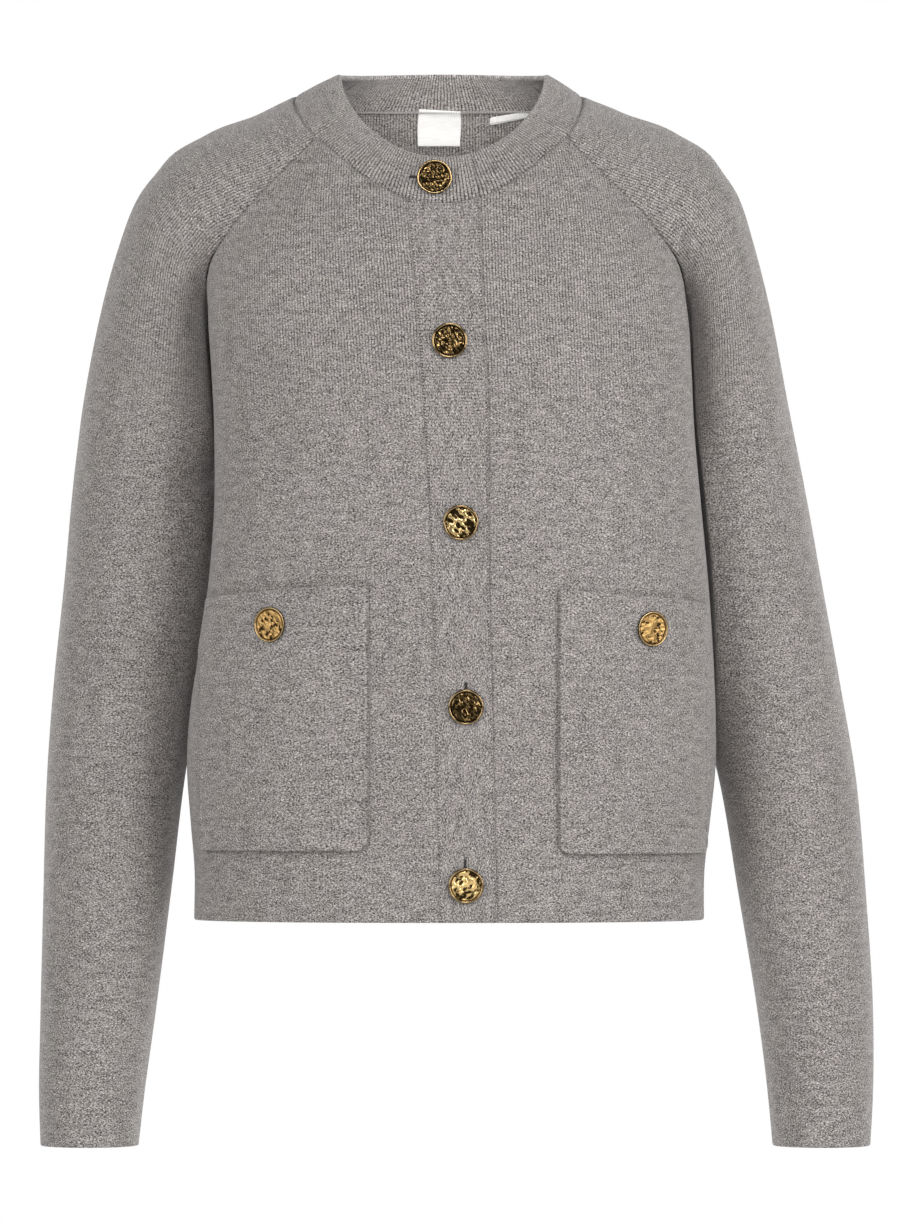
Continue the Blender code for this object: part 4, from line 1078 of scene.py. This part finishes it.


# Antiqued metals: one gold, whose face is painted darker or brighter on each button as painted
# reflection of the dark room or of the lamps, and its marks on the ridges, where the light ones are
# painted glints, or else in the hollows. marked is the share of a ridge or hollow between which the
# mark sets in, patches the noise that lets it show.
Metal = namedtuple("Metal", "name buttons face mark on_ridges marked patches roughness")
METALS = (
    Metal(
        "gold_dark", ("button_1", "button_2", "button_4"), (0.050, 0.032, 0.013, 1),
        (0.30, 0.20, 0.085, 1), True, (0.10, 0.75), (0.40, 0.56), 0.10,
    ),
    Metal(
        "gold_waved", ("button_3",), (0.60, 0.43, 0.20, 1),
        (0.045, 0.029, 0.011, 1), False, (0.12, 0.42), (0.28, 0.42), 0.20,
    ),
    Metal(
        "gold_bright", ("button_5",), (0.76, 0.53, 0.23, 1),
        (0.05, 0.032, 0.012, 1), False, (0.25, 0.50), (0.34, 0.46), 0.26,
    ),
    Metal(
        "gold_satin", ("button_pocket_right", "button_pocket_left"), (0.44, 0.275, 0.105, 1),
        (0.03, 0.018, 0.007, 1), False, (0.35, 0.70), (0.40, 0.50), 0.40,
    ),
)
RIM_METAL = (0.34, 0.24, 0.12, 1)
# painted shade for the groove inside the rim and a thin outline at the button's edge
RIM_PAINTED_SHADE = (0.030, 0.020, 0.009, 1)


def gold(metal):
    """Antiqued metal with its marks in patches, in a polished rim; painted shade darkens the rim's
    groove and outer edge.
    """
    n = Nodes(metal.name)
    place = n.place()
    radius = n.add("VectorMath", {0: n.uv("cut")[0]}, 1, operation="LENGTH")

    def past(start, end):
        """Whether a point lies out past a radius; both are mm in from the button's edge."""
        return n.ramp(radius, (BUTTON_RADIUS - start) * MM, (BUTTON_RADIUS - end) * MM)

    at_rim = past(2.1 * RIM_TUBE, 1.7 * RIM_TUBE)
    # ridges for the painted glints, hollows for the marks
    _, ridge, hollow = n.uv("worn")
    patches = n.ramp(n.noise(place, 330, 2, 0.6), *metal.patches)
    marked = n.times(n.ramp(ridge if metal.on_ridges else hollow, *metal.marked), patches)
    tone = n.mix(at_rim, n.mix(marked, metal.face, metal.mark), RIM_METAL)
    # painted shade: the groove inside the rim and a thin ring at the button's edge are darkened
    groove = n.times(past(3.2 * RIM_TUBE, 2.3 * RIM_TUBE), n.minus(1.0, at_rim))
    tone = n.mix(n.line(groove, 0.7, past(0.45, 0.1)), tone, RIM_PAINTED_SHADE)
    rough = n.ramp(n.noise(place, 900), 0.3, 0.7, metal.roughness, metal.roughness + 0.10)
    rough = n.times(rough, n.line(at_rim, -0.4, 1.0))
    bump = n.bump(0.25, 0.0003, n.noise(place, 700))
    return n.finish(Base_Color=tone, Metallic=1.0, Roughness=rough, Normal=bump)


WARP, WEFT = 0.00045, 0.0006  # pitch of the tape's threads, m
TAPE_WHITE = (0.90, 0.885, 0.86)


def label_cloth(name):
    """White satin-woven tape: fine warp ribs and a few uneven threads."""
    n = Nodes(name)
    cut, u, v = n.uv("cut")
    weave = n.times(n.wave(u, WARP), n.wave(v, WEFT))
    uneven = n.ramp(n.noise(cut, (120, 900, 1)), 0.2, 0.8, 0.92, 1.04)
    return n.finish(
        Base_Color=n.tone(TAPE_WHITE, n.line(weave, 0.03, uneven)), Roughness=0.6,
        Normal=n.bump(0.4, 0.0001, weave), Sheen_Weight=0.15, Sheen_Roughness=0.4,
    )


def thread(name, colour):
    n = Nodes(name)
    fibres = n.noise(n.place(), 1500, 3, 0.7)
    return n.finish(
        Base_Color=n.tone(colour, n.ramp(fibres, 0.3, 0.7, 0.6, 1.25)), Roughness=0.9,
        Normal=n.bump(0.5, 0.0002, fibres), Sheen_Weight=0.3,
    )


# ------ pieces and their finish
SEAM_YARN = (0.34, 0.32, 0.31)
# near black: the buttonhole thread's colour is painted shade of the open slits
HOLE_YARN_PAINTED_SLIT_SHADE = (0.024, 0.021, 0.020)


def dress(piece, node, material):
    """Material, slot and body of a piece; it may replace a solid."""
    piece.data.materials.append(material)
    if node:
        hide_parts(node)
    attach(piece, "root")


def build_cardigan():
    jersey = wool("wool_jersey")
    # the collar's tone is painted a little darker, as shade against the neck lamp's light on it
    rib = wool("wool_collar", wales=1.6, felt_from=-0.5, felt_to=-0.6, ladder=0.6, shade=0.975)
    band_knit = wool("wool_band", wales=0.55, felt_from=-0.2, felt_to=-0.4, ladder=0.0, dots=1.0)
    patch = wool("wool_pocket", ladder=0.9)
    grids, panels = main_panels()
    for name, piece in panels.items():
        dress(piece, name, jersey)
    collar, inside_seam = collar_piece(grids)
    dress(collar, "collar", rib)
    dress(neck_chain(inside_seam), None, thread("seam_yarn", SEAM_YARN))
    top = band_piece("band_buttonholes_cloth", 0.0, 0.0, BAND_WALL, "end")
    under = band_piece(
        "band_buttons_cloth", UNDERBAND_SHIFT, BAND_WALL + OVERLAP, UNDERBAND_WALL, "start"
    )
    dress(top, "band_buttonholes", band_knit)
    dress(under, "band_buttons", band_knit)
    for pocket in POCKETS:
        dress(pocket_piece(pocket), pocket.name, patch)
    tape = label_cloth("label_tape")
    dress(neck_label(), "label_neck", tape)
    dress(care_label(), "label_care", tape)
    metal_of = {}
    for metal in METALS:
        metal_of.update(dict.fromkeys(metal.buttons, gold(metal)))
    # the buttonhole thread is near black, as painted shade of the slits
    sewing = thread("buttonhole_thread", HOLE_YARN_PAINTED_SLIT_SHADE)
    for hole in HOLES:
        piece = buttonhole_piece(hole, collar if hole.button == "button_1" else top)
        dress(piece, None, sewing)
    for seed, node in enumerate(sorted(metal_of), 11):
        dress(button_piece(node + "_metal", node, seed), node, metal_of[node])


# ------ stage, lights and camera
PIXEL = 0.66 * MM  # one pixel of a 915 x 1220 picture at the garment
FRAME_WIDTH = 915 * PIXEL
CENTRE_X, CENTRE_Z = (457.5 - 443) * PIXEL, (107 - 610) * PIXEL
DISTANCE = 9.0
SENSOR = 36.0
FLOOR_Z, FLOOR_RADIUS = -1.30, 3.0
AMBIENT = 0.23  # the room's light beside its white, which the camera sees
Lamp = namedtuple("Lamp", "name place size watts")
LAMPS = (
    Lamp("key_left", (2.9, -2.5, 0.6), (1.8, 2.4), 98),
    Lamp("key_right", (-2.7, -2.8, 0.6), (1.8, 2.4), 70),
    Lamp("front", (0.3, -3.4, 2.3), (1.2, 1.2), 58),
    Lamp("back_left", (2.0, 3.2, 0.5), (1.6, 2.0), 62),
    Lamp("back_right", (-2.0, 3.2, 0.5), (1.6, 2.0), 62),
)
# a narrow lamp on the inside of the back neck
NECK_WATTS, NECK_BEAM, NECK_BLEND, NECK_BULB = 400.0, 2.13, 0.25, 0.02
NECK_LAMP_AT, NECK_LAMP_AIM = (0, -3.6, 0.07), (0, 0.05, 0.030)
FLOOR_GREY = (0.86, 0.87)


def studio():
    world = bpy.data.worlds.new("studio")
    world.use_nodes = True
    tree = world.node_tree
    seen = tree.nodes.new("ShaderNodeLightPath").outputs["Is Camera Ray"]
    strength = tree.nodes.new("ShaderNodeMapRange")
    strength.inputs["To Min"].default_value = AMBIENT
    tree.links.new(seen, strength.inputs["Value"])
    background = tree.nodes["Background"]
    background.inputs["Color"].default_value = (1, 1, 1, 1)
    tree.links.new(strength.outputs["Result"], background.inputs["Strength"])
    bpy.context.scene.world = world
    bpy.context.scene.view_settings.view_transform = "Standard"
    for lamp in LAMPS:
        light = bpy.data.lights.new(lamp.name, "AREA")
        light.shape = "RECTANGLE"
        light.size, light.size_y = lamp.size
        light.energy = lamp.watts
        put(lamp.name, light, lamp.place, (CENTRE_X, 0, CENTRE_Z))
    neck = bpy.data.lights.new("neck", "SPOT")
    neck.energy = NECK_WATTS
    neck.spot_size = math.radians(NECK_BEAM)
    neck.spot_blend = NECK_BLEND
    neck.shadow_soft_size = NECK_BULB
    put("neck", neck, NECK_LAMP_AT, NECK_LAMP_AIM)
    mesh = bpy.data.meshes.new("floor")
    ring = [
        (FLOOR_RADIUS * math.cos(a), FLOOR_RADIUS * math.sin(a), FLOOR_Z)
        for a in np.linspace(0, 2 * math.pi, 96, endpoint=False)
    ]
    mesh.from_pydata(ring, [], [list(range(len(ring)))])
    n = Nodes("pale_floor")
    grain = n.ramp(n.noise(n.place(), 6), 0.3, 0.7, *FLOOR_GREY)
    grey = n.add("CombineColor", {0: grain, 1: grain, 2: grain})
    mesh.materials.append(n.finish(Base_Color=grey, Roughness=0.8))
    put("floor", mesh)


def camera():
    data = bpy.data.cameras.new("camera")
    data.sensor_fit = "HORIZONTAL"
    data.sensor_width = SENSOR
    data.lens = SENSOR * DISTANCE / FRAME_WIDTH
    data.clip_end = 50
    holder = put("camera", data, (CENTRE_X, -DISTANCE, CENTRE_Z))
    holder.rotation_euler = (math.radians(90), 0, 0)
    bpy.context.scene.camera = holder


def main():
    camera()
    build_cardigan()
    studio()


main()
